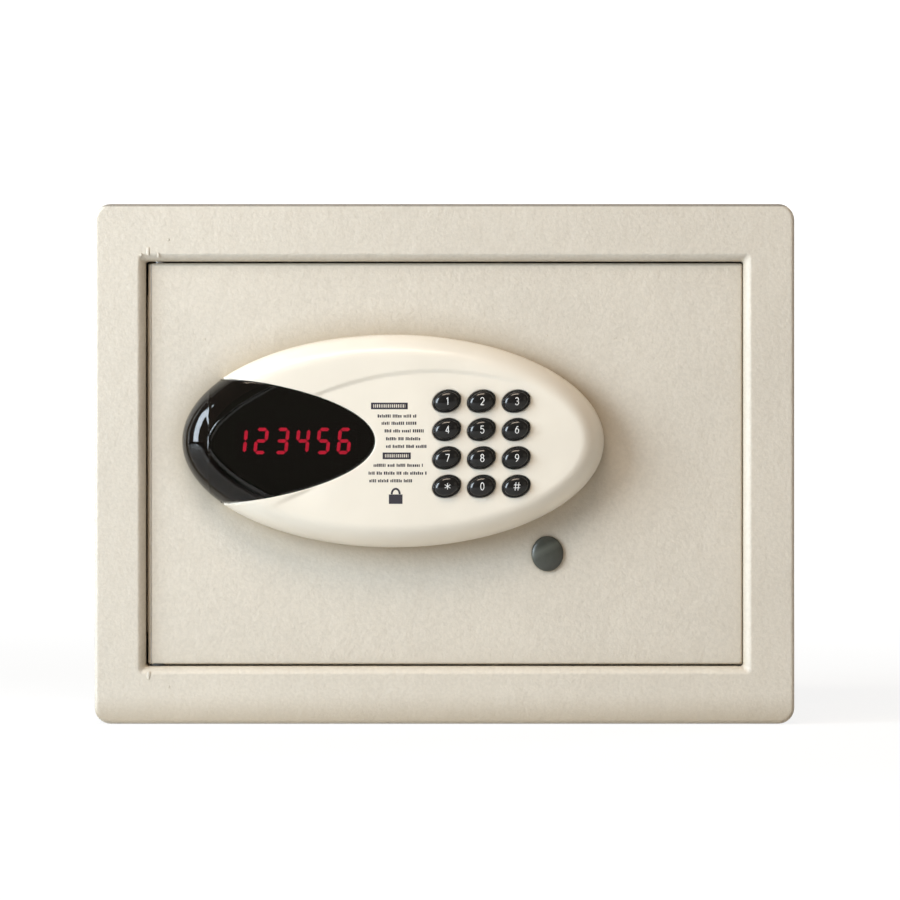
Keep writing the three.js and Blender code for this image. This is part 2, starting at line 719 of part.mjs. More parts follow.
// ---------- emergency lock ----------
const PLUG_R = 4.6;
const CYLINDER_BACK_Y = -92;
const PLUG_FACE_Y = DOOR_Y0 + 3.8;
const PLUG_TAIL = { radius: 3, endY: -88.4 };
const KEYWAY = { width: 1.8, height: 6.4, depth: 11 };

function lockCylinder() {
  const bore = PLUG_R + FLOAT;
  const shoulderY = DOOR_Y0 + LOCK_FLANGE.thickness;
  const profile = [
    [bore, DOOR_Y0],
    [LOCK_FLANGE.radius, DOOR_Y0],
    [LOCK_FLANGE.radius, shoulderY],
    [LOCK_BODY_R, shoulderY],
    [LOCK_BODY_R, CYLINDER_BACK_Y],
    [bore, CYLINDER_BACK_Y],
    [bore, DOOR_Y0],
  ];
  return turnedY(profile, LOCK_X, LOCK_Z);
}

const NUT = { cornerR: 11, thickness: 4 };

function lockNut() {
  const corners = [0, 1, 2, 3, 4, 5].map((i) => {
    const angle = (i * Math.PI) / 3;
    const x = LOCK_X + NUT.cornerR * Math.cos(angle);
    const z = LOCK_Z + NUT.cornerR * Math.sin(angle);
    return new THREE.Vector2(x, z);
  });
  const y0 = DOOR_Y1 + 2 * FLOAT;
  const hexagon = prismY(new THREE.Shape(corners), y0, y0 + NUT.thickness);
  const bore = barY(LOCK_BODY_R + FLOAT, LOCK_X, LOCK_Z, y0 - CLEAR, y0 + NUT.thickness + CLEAR, 20);
  return cut(hexagon, bore);
}

// Modelled about its own axis, with the keyway upright.
function lockPlug() {
  const shoulderY = CYLINDER_BACK_Y + 0.4;
  const profile = [
    [0, PLUG_FACE_Y],
    [PLUG_R, PLUG_FACE_Y],
    [PLUG_R, shoulderY],
    [PLUG_TAIL.radius, shoulderY],
    [PLUG_TAIL.radius, PLUG_TAIL.endY],
    [0, PLUG_TAIL.endY],
  ];
  const keyway = box(
    [-KEYWAY.width / 2, KEYWAY.width / 2],
    [PLUG_FACE_Y - CLEAR, PLUG_FACE_Y + KEYWAY.depth],
    [-KEYWAY.height / 2, KEYWAY.height / 2],
  );
  return cut(turnedY(profile, 0, 0), keyway);
}

// Modelled about the plug's axis, with the arm upright.
const CRANK = { y0: -91.2, y1: -89.2, endR: 4, hubR: 6, pinY1: -84 };

function lockCrank() {
  const arm = new THREE.Shape();
  arm.absarc(0, CRANK_R, CRANK.endR, 0, Math.PI, false);
  arm.absarc(0, 0, CRANK.hubR, Math.PI, 2 * Math.PI, false);
  const plate = prismY(arm, CRANK.y0, CRANK.y1);
  const pin = barY(CRANK_PIN_R, 0, CRANK_R, CRANK.y1 - CLEAR, CRANK.pinY1);
  const bore = barY(PLUG_TAIL.radius + FLOAT, 0, 0, CRANK.y0 - CLEAR, CRANK.y1 + CLEAR);
  return cut(join(plate, pin), bore);
}

// A domed oval plug that hides the keyway, held by a spigot in the cylinder's mouth.
const CAP = { a: 8, b: 8.85, spigotR: 4.2, spigot: 3.2 };

function overrideCap() {
  const profile = [
    [0, FLOAT],
    [1, FLOAT],
    [1, 1.2],
    [0.9, 2.3],
    [0.6, 3],
    [0, 3.2],
  ];
  const dome = turnedOut(profile, LOCK_X, LOCK_Z, { a: CAP.a, b: CAP.b });
  const spigot = barY(CAP.spigotR, LOCK_X, LOCK_Z, DOOR_Y0 - CLEAR / 2, DOOR_Y0 + CAP.spigot, 16);
  return join(dome, spigot);
}

// ---------- electronic panel ----------
// How far the panel's outer face stands off the door at share s of the way from its centre to its outline.
const panelRise = (s, peak) => PANEL_RIM + (peak - PANEL_RIM) * Math.sqrt(1 - s ** PANEL_POWER);

// The panel's dome, drawn in from its outer face by the given inset and starting at foot above the door.
function panelDome(inset, foot) {
  const peak = PANEL_H - inset;
  const steps = 7;
  const crowding = 0.55; // brings the rings together towards the shoulder
  const shares = Array.from({ length: steps }, (_, i) => Math.cos((i / steps) * (Math.PI / 2)) ** crowding);
  const profile = [
    [0, foot],
    [1, foot],
    ...shares.map((s) => [s, panelRise(s, peak)]),
    [0, peak],
  ];
  return turnedOut(profile, PANEL_X, PANEL_Z, { a: PANEL_A - inset, b: PANEL_B - inset, segments: 44 });
}

const innerDome = () => panelDome(PANEL_WALL, -CLEAR);

// The display lens is a teardrop: its blunt end is the panel's own outline, and its tip points at the keys.
const LENS = { beyond: -200, corner: -85.5, tip: -8.8, half: 31, power: 1.5, seam: 0.3 };

function lensOutline(grow) {
  const steps = 10;
  const length = LENS.tip - LENS.corner + grow;
  const half = LENS.half + grow;
  const upper = [[LENS.beyond, half]];
  for (let i = 0; i <= steps; i += 1) {
    const t = Math.sin((i / steps) * (Math.PI / 2));
    upper.push([LENS.corner + t * length, half * Math.sqrt(Math.max(0, 1 - t ** LENS.power))]);
  }
  const lower = upper.slice(0, -1).reverse().map(([x, z]) => [x, -z]);
  const around = [...upper, ...lower].map(([x, z]) => new THREE.Vector2(PANEL_X + x, PANEL_Z + z));
  return new THREE.Shape(around.reverse());
}

const KEY_LABELS = ["1", "2", "3", "4", "5", "6", "7", "8", "9", "star", "0", "hash"];
const KEY_COLUMNS = 3;
const FLANGE_DROP = 0.9; // from the panel's inner face to the top of a key's flange

// Each key's place, the height of the panel there, and the seat of its flange under the panel's wall.
const keyPlaces = KEY_LABELS.map((label, i) => {
  const x = KEY_X + ((i % KEY_COLUMNS) - 1) * KEY_PITCH_X;
  const z = KEY_Z + (1.5 - Math.floor(i / KEY_COLUMNS)) * KEY_PITCH_Z;
  const share = Math.hypot(x / PANEL_A, z / PANEL_B);
  const farX = x + KEY_FLANGE * KEY_A;
  const farZ = Math.abs(z) + KEY_B / 2;
  const farShare = Math.hypot(farX / PANEL_A, farZ / PANEL_B);
  const rise = panelRise(share, PANEL_H);
  const seat = panelRise(farShare, PANEL_H) - PANEL_WALL - FLANGE_DROP;
  return { label, x: PANEL_X + x, z: PANEL_Z + z, rise, seat };
});

const BOARD = { a: 92, b: 40, y0: DOOR_Y0 - 8.6, y1: DOOR_Y0 - 7 };
const BOSS = { radius: 3.5, tapR: 1.7, tapDepth: 9, gap: 0.2 };
const REST_R = 2.5;
const RESTS = [
  [0, 30],
  [0, -30],
  [85, 0],
];

function panelHousing() {
  const outside = panelDome(0, 0);
  const shell = cut(outside, innerDome());
  const wallMiddleY = DOOR_Y0 - PANEL_H + PANEL_WALL / 2;
  const farY = DOOR_Y0 - PANEL_H - CLEAR;
  const bosses = PANEL_SCREWS.map(([x, z]) =>
    barY(BOSS.radius, x, z, wallMiddleY, DOOR_Y0 - BOSS.gap).intersect(outside),
  );
  const tapped = PANEL_SCREWS.map(([x, z]) =>
    barY(BOSS.tapR, x, z, DOOR_Y0 - BOSS.tapDepth, DOOR_Y0 + CLEAR, 12),
  );
  const rests = RESTS.map(([x, z]) =>
    barY(REST_R, PANEL_X + x, PANEL_Z + z, wallMiddleY, BOARD.y0 - FLOAT, 12).intersect(outside),
  );
  const keyHoles = keyPlaces.map(({ x, z }) =>
    prismY(
      ellipseOutline(x, z, KEY_A + KEY_GAP, KEY_B + KEY_GAP, KEY_TILT),
      farY,
      DOOR_Y0 - DOME_TOP,
      { curve: 9 },
    ),
  );
  const window = prismY(lensOutline(LENS.seam / 2), farY, DOOR_Y0 + CLEAR);
  return cut(join(shell, ...bosses, ...rests), ...tapped, ...keyHoles, window);
}

// The window's flat face: its height above the door at its left end, and where that end is.
const EYE = { rise: 15.8, x: -91, tipDrop: 0.1 };

// The lens follows the panel's dome at its blunt end, and is cut by a slightly tilted flat window.
function displayLens() {
  const shell = cut(panelDome(0, 2 * FLOAT), innerDome());
  const farY = DOOR_Y0 - 3 * PANEL_H;
  const body = shell.intersect(prismY(lensOutline(-LENS.seam / 2), farY, DOOR_Y0 + CLEAR));
  const slope = (PANEL_H - EYE.rise - EYE.tipDrop) / (LENS.tip - EYE.x);
  const faceY = (x) => DOOR_Y0 - EYE.rise - (x - EYE.x) * slope;
  const [x0, x1] = [EYE.x - 2 * PANEL_H, PANEL_H];
  const above = new THREE.Shape();
  above.moveTo(PANEL_X + x0, faceY(x0));
  above.lineTo(PANEL_X + x0, farY);
  above.lineTo(PANEL_X + x1, farY);
  above.lineTo(PANEL_X + x1, faceY(x1));
  return cut(body, prismZ(above, PANEL_Z - PANEL_B, PANEL_Z + PANEL_B));
}

function keypadBoard() {
  return prismY(ellipseOutline(PANEL_X, PANEL_Z, BOARD.a, BOARD.b), BOARD.y0, BOARD.y1, { curve: 20 });
}

const MODULE = { x0: -77.5, x1: -17.5, halfZ: 9.5, rise: 15 }; // from the panel's centre and the door

function displayModule() {
  return box(
    [PANEL_X + MODULE.x0, PANEL_X + MODULE.x1],
    [DOOR_Y0 - MODULE.rise, BOARD.y0 - FLOAT],
    [PANEL_Z - MODULE.halfZ, PANEL_Z + MODULE.halfZ],
  );
}

const MEMBRANE = { marginX: 9, marginZ: 7, thickness: 1.3, cornerR: 4 };

function keyMembrane() {
  const reachX = KEY_PITCH_X + MEMBRANE.marginX;
  const reachZ = 1.5 * KEY_PITCH_Z + MEMBRANE.marginZ;
  const x = PANEL_X + KEY_X;
  const z = PANEL_Z + KEY_Z;
  const y1 = BOARD.y0 - FLOAT;
  const mat = prismY(
    roundedRect(x - reachX, x + reachX, z - reachZ, z + reachZ, MEMBRANE.cornerR),
    y1 - MEMBRANE.thickness,
    y1,
    { curve: 4 },
  );
  const profile = [
    [0, 9],
    [4.6, 9],
    [3.2, DOME_TOP],
    [0, DOME_TOP],
  ];
  const domes = keyPlaces.map((key) => turnedOut(profile, key.x, key.z, { segments: 8 }));
  return join(mat, ...domes);
}

function key({ x, z, rise, seat }) {
  const stem = 0.35;
  const flange = 0.9;
  const profile = [
    [0, KEY_FOOT],
    [stem, KEY_FOOT],
    [stem, seat - flange],
    [KEY_FLANGE, seat - flange],
    [KEY_FLANGE, seat],
    [1, seat],
    [1, rise + 0.2 * KEY_CROWN],
    [0.9, rise + 0.6 * KEY_CROWN],
    [0.55, rise + 0.9 * KEY_CROWN],
    [0, rise + KEY_CROWN],
  ];
  return turnedOut(profile, x, z, { a: KEY_A, b: KEY_B, tilt: KEY_TILT, segments: 16 });
}

// A screw from inside the door into one of the panel's bosses.
function panelScrew(x, z) {
  const seatY = DOOR_Y1 + FLOAT;
  const profile = [
    [0, DOOR_Y0 - 8],
    [PANEL_SCREW_R, DOOR_Y0 - 8],
    [PANEL_SCREW_R, seatY],
    [3.5, seatY],
    [3.2, seatY + 1.9],
    [0, seatY + 2.1],
  ];
  return turnedY(profile, x, z, 10);
}

// ---------- electronics behind the door ----------
const CONTROL = { x0: -50, x1: 5, y0: -110, y1: -108.4, z0: 72, z1: 114 };

function controlBoard() {
  const { x0, x1, y0, y1, z0, z1 } = CONTROL;
  const inset = 4;
  const inBoard = (y0 + y1) / 2;
  const board = box([x0, x1], [y0, y1], [z0, z1]);
  const legs = [x0 + inset, x1 - inset].flatMap((x) =>
    [z0 + inset, z1 - inset].map((z) => barY(2.5, x, z, DOOR_Y1 + FLOAT, inBoard, 12)),
  );
  const relay = box([x1 - 22, x1 - 8], [inBoard, y1 + 10.4], [z0 + 8, z0 + 20]);
  const capacitor = barY(4, x0 + 14, z0 + 14, inBoard, y1 + 11.4, 16);
  const socket = box([x0 + 12, x0 + 30], [inBoard, y1 + 6.4], [z1 - 14, z1 - 7]);
  return join(board, ...legs, relay, capacitor, socket);
}

const CABLE = { thickness: 0.8, halfWidth: 6 };

// A flat cable from the back of the keypad board, through the door, to the front of the control board.
function ribbonCable() {
  const line = [
    [BOARD.y1 + 0.4, 152],
    [BOARD.y1 + 0.6, 147],
    [DOOR_Y0 - 3, 143],
    [DOOR_Y0, 141.2],
    [DOOR_Y1, 140.6],
    [DOOR_Y1 + 3.5, 138],
    [CONTROL.y0 - 2, 133],
    [CONTROL.y0 - 1.4, 126],
    [CONTROL.y0 - 0.7, 118],
    [CONTROL.y0 - 0.6, 108],
  ];
  const section = strip(line, CABLE.thickness);
  return prismX(section, CABLE_HOLE.x - CABLE.halfWidth, CABLE_HOLE.x + CABLE.halfWidth);
}

const TRAY = { frontY: -97, wall: 1.5 };

function batteryBox() {
  const { x, z, halfX, halfZ } = BATTERY;
  const { frontY, wall } = TRAY;
  const backY = COVER_BACK_Y - COVER.wall - 2 * FLOAT;
  const outside = box(
    [x - halfX - wall, x + halfX + wall],
    [frontY, backY],
    [z - halfZ - wall, z + halfZ + wall],
  );
  const inside = box(
    [x - halfX, x + halfX],
    [frontY + wall, backY + CLEAR],
    [z - halfZ, z + halfZ],
  );
  return cut(outside, inside);
}

const CELL = { radius: 7.1, half: 24.6, nubR: 2.7, nub: 1.2, y: -88, gap: 0.2 };
const CELL_COUNT = 4;

// Cells lie along X, one row above the other, and every second one is turned end for end.
function cell(row) {
  const { radius, half, nubR, nub, y, gap } = CELL;
  const profile = [
    [0, -half],
    [radius, -half],
    [radius, half],
    [nubR, half],
    [nubR, half + nub],
    [0, half + nub],
  ];
  const geometry = turned(profile, 14);
  const turnedRound = row % 2 === 1;
  geometry.rotateZ(turnedRound ? Math.PI / 2 : -Math.PI / 2);
  geometry.translate(BATTERY.x, y, BATTERY.z + (row - (CELL_COUNT - 1) / 2) * (2 * radius + gap));
  return solidOf(geometry);
}

const LID = { lip: 2.5, thickness: 1.8, plug: 3, play: 0.5, cornerR: 3 };
const NOTCH = { halfX: 9, far: 8, near: 2, cornerR: 2.5 };

// A snap-in lid: a plug in the cover's opening, a lip over its edge and a notch for a fingernail.
function batteryCover() {
  const { x, z, halfX, halfZ } = BATTERY;
  const { lip, thickness, plug, play, cornerR } = LID;
  const lipY = COVER_BACK_Y + 2 * FLOAT;
  const plate = prismY(
    roundedRect(x - halfX - lip, x + halfX + lip, z - halfZ - lip, z + halfZ + lip, cornerR),
    lipY,
    lipY + thickness,
    { bevel: 0.5, curve: 3 },
  );
  const body = box(
    [x - halfX + play, x + halfX - play],
    [COVER_BACK_Y - plug, lipY + CLEAR / 2],
    [z - halfZ + play, z + halfZ - play],
  );
  const edgeZ = z + halfZ;
  const notch = prismY(
    roundedRect(x - NOTCH.halfX, x + NOTCH.halfX, edgeZ - NOTCH.far, edgeZ - NOTCH.near, NOTCH.cornerR),
    COVER_BACK_Y,
    lipY + thickness + CLEAR,
    { curve: 3 },
  );
  return cut(join(plate, body), notch);
}

// ---------- assembly ----------
piece("cabinet_wrap", cabinetWrap(), paint);
piece("front_frame", frontFrame(), paint);
piece("back_panel", backPanel(), paint);
piece("strike_plate", strikePlate(), paint);
piece("floor_mat", floorMat(), felt);
piece("hinge_pin_lower", hingePin(1), steel);
piece("hinge_pin_upper", hingePin(-1), steel);
piece("hinge_washer", hingeWasher(), blackPlastic);

piece("door_plate", doorPlate(), paint);
piece("hinge_block_lower", hingeBlock(1), steel);
piece("hinge_block_upper", hingeBlock(-1), steel);
piece("door_cover", doorCover(), paint);
POSTS.forEach(([x, z], i) => piece(`cover_screw_${i + 1}`, coverScrew(x, z), steel));

piece("bolt_carriage", boltCarriage(), steel);
piece("locking_bolt_lower", lockingBolt(BOLT_Z[0]), steel);
piece("locking_bolt_upper", lockingBolt(BOLT_Z[1]), steel);
piece("bolt_guide", boltGuide(), steel);
piece("guide_stud_lower", guideStud(GUIDE_Z[0]), brass);
piece("guide_stud_upper", guideStud(GUIDE_Z[1]), brass);
piece("gear_motor", gearMotor(), steel);
piece("motor_bracket", motorBracket(), steel);
piece("drive_pinion", drivePinion(), brass, { x: MOTOR_X, z: MOTOR_Z });

piece("lock_cylinder", lockCylinder(), brass);
piece("lock_nut", lockNut(), brass);
// Plug and crank stand 45 degrees left of upright while the bolts are drawn in.
const lockPlace = { x: LOCK_X, z: LOCK_Z, turn: -Math.PI / 4 };
piece("lock_plug", lockPlug(), brass, lockPlace);
piece("lock_crank", lockCrank(), steel, lockPlace);
piece("override_cap", overrideCap(), capGrey);

piece("panel_housing", panelHousing(), cream);
piece("display_lens", displayLens(), blackGloss);
piece("display_module", displayModule(), blackPlastic);
piece("keypad_board", keypadBoard(), boardGreen);
piece("key_membrane", keyMembrane(), rubber);
keyPlaces.forEach((place) => piece(`key_${place.label}`, key(place), blackGloss));
PANEL_SCREWS.forEach(([x, z], i) => piece(`panel_screw_${i + 1}`, panelScrew(x, z), steel));

piece("control_board", controlBoard(), boardGreen);
piece("ribbon_cable", ribbonCable(), rubber);
piece("battery_box", batteryBox(), blackPlastic);
for (let row = 0; row < CELL_COUNT; row += 1) {
  piece(`battery_${row + 1}`, cell(row), cellWrap);
}
piece("battery_cover", batteryCover(), blackPlastic);

export default root;
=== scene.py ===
"""Looks for the hotel in-room safe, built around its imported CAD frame.

Lengths are millimetres in this file and become metres when a mesh is made. +X is right seen from
the front, +Y runs into the safe, +Z is up, and the door faces -Y.
"""

import math

import bmesh
import bpy
import numpy as np
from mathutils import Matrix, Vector
from mathutils.geometry import delaunay_2d_cdt


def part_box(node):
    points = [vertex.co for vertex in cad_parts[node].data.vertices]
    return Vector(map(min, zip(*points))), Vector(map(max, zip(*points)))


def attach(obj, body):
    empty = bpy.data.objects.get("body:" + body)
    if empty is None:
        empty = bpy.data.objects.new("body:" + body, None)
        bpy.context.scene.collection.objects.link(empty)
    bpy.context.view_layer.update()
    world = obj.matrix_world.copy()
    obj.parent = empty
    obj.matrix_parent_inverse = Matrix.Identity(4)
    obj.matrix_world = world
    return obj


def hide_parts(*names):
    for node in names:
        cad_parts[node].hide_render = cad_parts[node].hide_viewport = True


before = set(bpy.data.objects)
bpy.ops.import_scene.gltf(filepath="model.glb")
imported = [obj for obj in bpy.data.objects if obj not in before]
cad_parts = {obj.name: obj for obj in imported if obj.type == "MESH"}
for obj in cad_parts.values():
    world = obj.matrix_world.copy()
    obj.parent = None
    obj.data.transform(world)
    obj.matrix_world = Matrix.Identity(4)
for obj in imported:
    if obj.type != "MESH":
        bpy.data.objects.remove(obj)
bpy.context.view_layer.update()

MM = 0.001
SMOOTH_ANGLE = 35  # edges that turn by more than this many degrees stay crisp
FLAT_ANGLE = 20  # a tighter limit, used once the paint nibs are on
CORNER_STEPS = 8  # facets in each rounded corner of a sheet


# ---------------------------------------------------------------- the frame's own sizes
def box_mm(node):
    low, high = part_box(node)
    return low / MM, high / MM


def middle_xz(node):
    low, high = box_mm(node)
    return (low.x + high.x) / 2, (low.z + high.z) / 2


WRAP = box_mm("cabinet_wrap")
FRONT = box_mm("front_frame")
BACK = box_mm("back_panel")
DOOR = box_mm("door_plate")
HOUSING = box_mm("panel_housing")
LENS = box_mm("display_lens")
CAP = box_mm("override_cap")

HALF_W = WRAP[1].x
HEIGHT = WRAP[1].z
FRONT_Y = FRONT[0].y
JAMB_Y = FRONT[1].y
BACK_Y = BACK[1].y
SHEET = BACK[1].y - BACK[0].y
OPEN_X = box_mm("strike_plate")[0].x - 0.2 - SHEET
OPEN_Z0 = box_mm("hinge_washer")[0].z - 0.1
OPEN_Z1 = HEIGHT - OPEN_Z0
BEND_R = 4.0
BEND_EASE = 1.4  # above 1 the roll's middle is flatter than a quarter circle
CORNER_R = 8.0
FIXING_R = 5  # bolt holes, two in the floor and two in the back
FIXING_X = (-100, 100)
FIXING_Y = 20
FIXING_Z = 180

DOOR_Y0 = DOOR[0].y
DOOR_Y1 = DOOR_Y0 + 4.0

PANEL_X = (LENS[0].x + HOUSING[1].x) / 2
PANEL_Z = (HOUSING[0].z + HOUSING[1].z) / 2
PANEL_A = (HOUSING[1].x - LENS[0].x) / 2
PANEL_B = (HOUSING[1].z - HOUSING[0].z) / 2
PANEL_H = DOOR_Y0 - HOUSING[0].y
PANEL_RIM = 3.0  # straight wall at the panel's foot
PANEL_CROWN = 1.2  # how much the panel's face falls away from its centre to its shoulder
PANEL_SHOULDER = 12.0  # width of the rounded shoulder

LENS_CORNER = -85.5  # where the lens leaves the panel's outline, from the panel's centre
LENS_TIP = -8.8
LENS_HALF = 31.0
LENS_GAP = 0.15  # half the seam between lens and housing
EYE_APEX = -91.0  # left end of the flat window
EYE_OPEN = 3.75  # half the window's height is this times its length so far, to the power below
EYE_POWER = 0.575
EYE_WALL = 0.8  # width of the wall round the window
EYE_BEAD = 0.42  # a fine bead along the window's edge, its height and half width
EYE_BEAD_W = 0.45

KEY_LABELS = ["1", "2", "3", "4", "5", "6", "7", "8", "9", "star", "0", "hash"]
KEY_A = 7.0
KEY_B = 5.2
KEY_GAP = 0.3
KEY_TILT = math.radians(19)
KEY_CENTRES = {label: middle_xz("key_" + label) for label in KEY_LABELS}


# ---------------------------------------------------------------- mesh helpers
def in_scene(name, data):
    piece = bpy.data.objects.new(name, data)
    bpy.context.scene.collection.objects.link(piece)
    return piece


def new_object(name, points, faces):
    mesh = bpy.data.meshes.new(name)
    mesh.from_pydata([tuple(p * MM) for p in np.asarray(points, float)], [], faces)
    mesh.validate()
    piece = in_scene(name, mesh)
    smooth(piece, SMOOTH_ANGLE)
    return piece


def smooth(piece, angle):
    mesh = piece.data
    mesh.polygons.foreach_set("use_smooth", [True] * len(mesh.polygons))
    mesh.set_sharp_from_angle(angle=math.radians(angle))


def outward(piece):
    """Merges doubled points and turns every face outwards."""
    work = bmesh.new()
    work.from_mesh(piece.data)
    bmesh.ops.remove_doubles(work, verts=work.verts, dist=1e-7)
    bmesh.ops.recalc_face_normals(work, faces=work.faces)
    work.to_mesh(piece.data)
    work.free()
    return piece


def apply_modifiers(piece):
    depsgraph = bpy.context.evaluated_depsgraph_get()
    mesh = bpy.data.meshes.new_from_object(piece.evaluated_get(depsgraph))
    piece.modifiers.clear()
    old = piece.data
    piece.data = mesh
    bpy.data.meshes.remove(old)


def carve(piece, tools, operation="DIFFERENCE"):
    """Cuts closed tools out of a closed piece, or joins them to it."""
    for tool in tools:
        step = piece.modifiers.new("carve", "BOOLEAN")
        step.operation = operation
        step.solver = "MANIFOLD"
        step.object = tool
        bpy.context.view_layer.update()
        apply_modifiers(piece)
        mesh = tool.data
        bpy.data.objects.remove(tool)
        bpy.data.meshes.remove(mesh)


def ring_quads(first, second, count):
    """Faces between two rings of points, given the index where each ring starts."""
    after = [*range(1, count), 0]
    return [(first + i, first + j, second + j, second + i) for i, j in enumerate(after)]


def bar(axis, radius, centre, low, high, segments=32):
    """A round bar along y or z, as a closed tool."""
    points = []
    for level in (low, high):
        for i in range(segments):
            angle = 2 * math.pi * i / segments
            u, v = centre[0] + radius * math.cos(angle), centre[1] + radius * math.sin(angle)
            points.append((u, level, v) if axis == "y" else (u, v, level))
    caps = [tuple(reversed(range(segments))), tuple(range(segments, 2 * segments))]
    return outward(new_object("tool", points, ring_quads(0, segments, segments) + caps))


def block(low, high):
    """A box, as a closed tool."""
    xs, ys, zs = zip(low, high)
    corners = [(x, y, z) for x in xs for y in ys for z in zs]
    faces = [(0, 1, 3, 2), (4, 6, 7, 5), (0, 4, 5, 1), (2, 3, 7, 6), (0, 2, 6, 4), (1, 5, 7, 3)]
    return outward(new_object("tool", corners, faces))


def rounded_rect(x0, x1, z0, z1, radius):
    """Points (x, z) anticlockwise seen from the front, with the same count whatever the radius."""
    centres = [
        (x1 - radius, z0 + radius, -90),
        (x1 - radius, z1 - radius, 0),
        (x0 + radius, z1 - radius, 90),
        (x0 + radius, z0 + radius, 180),
    ]
    points = []
    for cx, cz, start in centres:
        for k in range(CORNER_STEPS + 1):
            angle = math.radians(start + 90 * k / CORNER_STEPS)
            points.append((cx + radius * math.cos(angle), cz + radius * math.sin(angle)))
    return points


def loft(name, rings, closed=False):
    """Joins rings of equal count: each ring is a list of (x, y, z)."""
    count = len(rings[0])
    points = [p for ring in rings for p in ring]
    faces = []
    for r in range(len(rings) if closed else len(rings) - 1):
        faces += ring_quads(r * count, ((r + 1) % len(rings)) * count, count)
    if not closed:
        faces.append(tuple(range(count)))
        faces.append(tuple(range((len(rings) - 1) * count, len(rings) * count)))
    return smooth_outward(name, points, faces)


def add_prism(points, faces, ends):
    """Adds a closed prism; ends lists its front outline and then its back one."""
    base, n = len(points), len(ends) // 2
    points += ends
    faces.append(tuple(range(base, base + n)))
    faces.append(tuple(reversed(range(base + n, base + 2 * n))))
    for i in range(n):
        j = (i + 1) % n
        faces.append((base + i, base + n + i, base + n + j, base + j))


def smooth_outward(name, points, faces, angle=SMOOTH_ANGLE):
    piece = outward(new_object(name, points, faces))
    smooth(piece, angle)
    return piece


def at_depth(outline, y):
    return [(x, y, z) for x, z in outline]


def quarter(steps):
    """Angles from 0 to 90 degrees."""
    return [math.pi / 2 * k / steps for k in range(steps + 1)]


# ---------------------------------------------------------------- shader helpers
class Nodes:
    """A node tree whose nodes are added and wired by short calls."""

    def __init__(self, tree):
        self.tree = tree
        self.tree.nodes.clear()

    def wire(self, value, socket):
        if isinstance(value, bpy.types.NodeSocket):
            self.tree.links.new(value, socket)
        elif socket.type == "RGBA":
            socket.default_value = (*value, 1)
        else:
            socket.default_value = value

    def add(self, kind, settings=None, **inputs):
        node = self.tree.nodes.new("ShaderNode" + kind)
        for key, value in (settings or {}).items():
            setattr(node, key, value)
        for key, value in inputs.items():
            self.wire(value, node.inputs[key.replace("_", " ")])
        return node

    def join(self, node, first, second, start=0):
        """Wires two values to a node's inputs from the given one on."""
        self.wire(first, node.inputs[start])
        self.wire(second, node.inputs[start + 1])
        return node.outputs

    def span(self, value, low, high, from_low=0.0, from_high=1.0):
        limits = {"From_Min": from_low, "From_Max": from_high, "To_Min": low, "To_Max": high}
        return self.add("MapRange", Value=value, **limits).outputs["Result"]

    def times(self, first, second):
        return self.join(self.add("Math", {"operation": "MULTIPLY"}), first, second)[0]

    def dot(self, first, second):
        node = self.add("VectorMath", {"operation": "DOT_PRODUCT"})
        return self.join(node, first, second)["Value"]

    def blend(self, factor, first, second):
        """A mix of two shaders."""
        node = self.add("MixShader", Fac=factor)
        return self.join(node, first.outputs[0], second.outputs[0], 1)[0]


class Material(Nodes):
    def __init__(self, name):
        self.material = bpy.data.materials.new(name)
        self.material.use_nodes = True
        super().__init__(self.material.node_tree)
        self.output = self.add("OutputMaterial")
        self.coords = self.add("TexCoord")

    def place(self, stretch=(1, 1, 1)):
        """The point's place on the object, in metres, stretched so that streaks run one way."""
        node = self.add("Mapping", Vector=self.coords.outputs["Object"], Scale=stretch)
        return node.outputs["Vector"]

    def noise(self, size_mm, detail, stretch=(1, 1, 1)):
        scale = 1 / (size_mm * MM)
        node = self.add("TexNoise", Vector=self.place(stretch), Scale=scale, Detail=detail)
        return node.outputs["Fac"]

    def clouds(self, size_mm, detail, low=0.35, high=0.65):
        """Noise with its middle range spread from 0 to 1."""
        return self.span(self.noise(size_mm, detail), 0, 1, low, high)

    def mix(self, factor, first, second):
        node = self.add("Mix", {"data_type": "RGBA"}, Factor=factor)
        return self.join(node, first, second, 6)[2]

    def bump(self, height, depth_mm, normal=None):
        node = self.add("Bump", Height=height, Strength=1.0, Distance=depth_mm * MM)
        if normal is not None:
            self.wire(normal, node.inputs["Normal"])
        return node.outputs["Normal"]

    def done(self, shader):
        self.wire(shader, self.output.inputs["Surface"])
        return self.material

    def surface(self, **inputs):
        return self.done(self.add("BsdfPrincipled", **inputs).outputs["BSDF"])


def srgb(red, green, blue):
    def linear(c):
        c /= 255
        return c / 12.92 if c <= 0.04045 else ((c + 0.055) / 1.055) ** 2.4

    return tuple(linear(c) for c in (red, green, blue))


def shade(colour, factor):
    return tuple(min(1.0, c * factor) for c in colour)


CORNER_SHADE_TINT = (0.63, 0.57, 0.48)  # how far red, green and blue fall in the painted corner shade
SHADE_REACH = 16  # how near another surface the painted shade reaches
TOP_SHADE_HEIGHT = (0.9938, 0.9962)  # shares of the height over which the painted shade line on the top front edge sets in
TOP_SHADE_DEPTH = (0.004, 0.009)  # shares of the depth over which that painted shade fades out
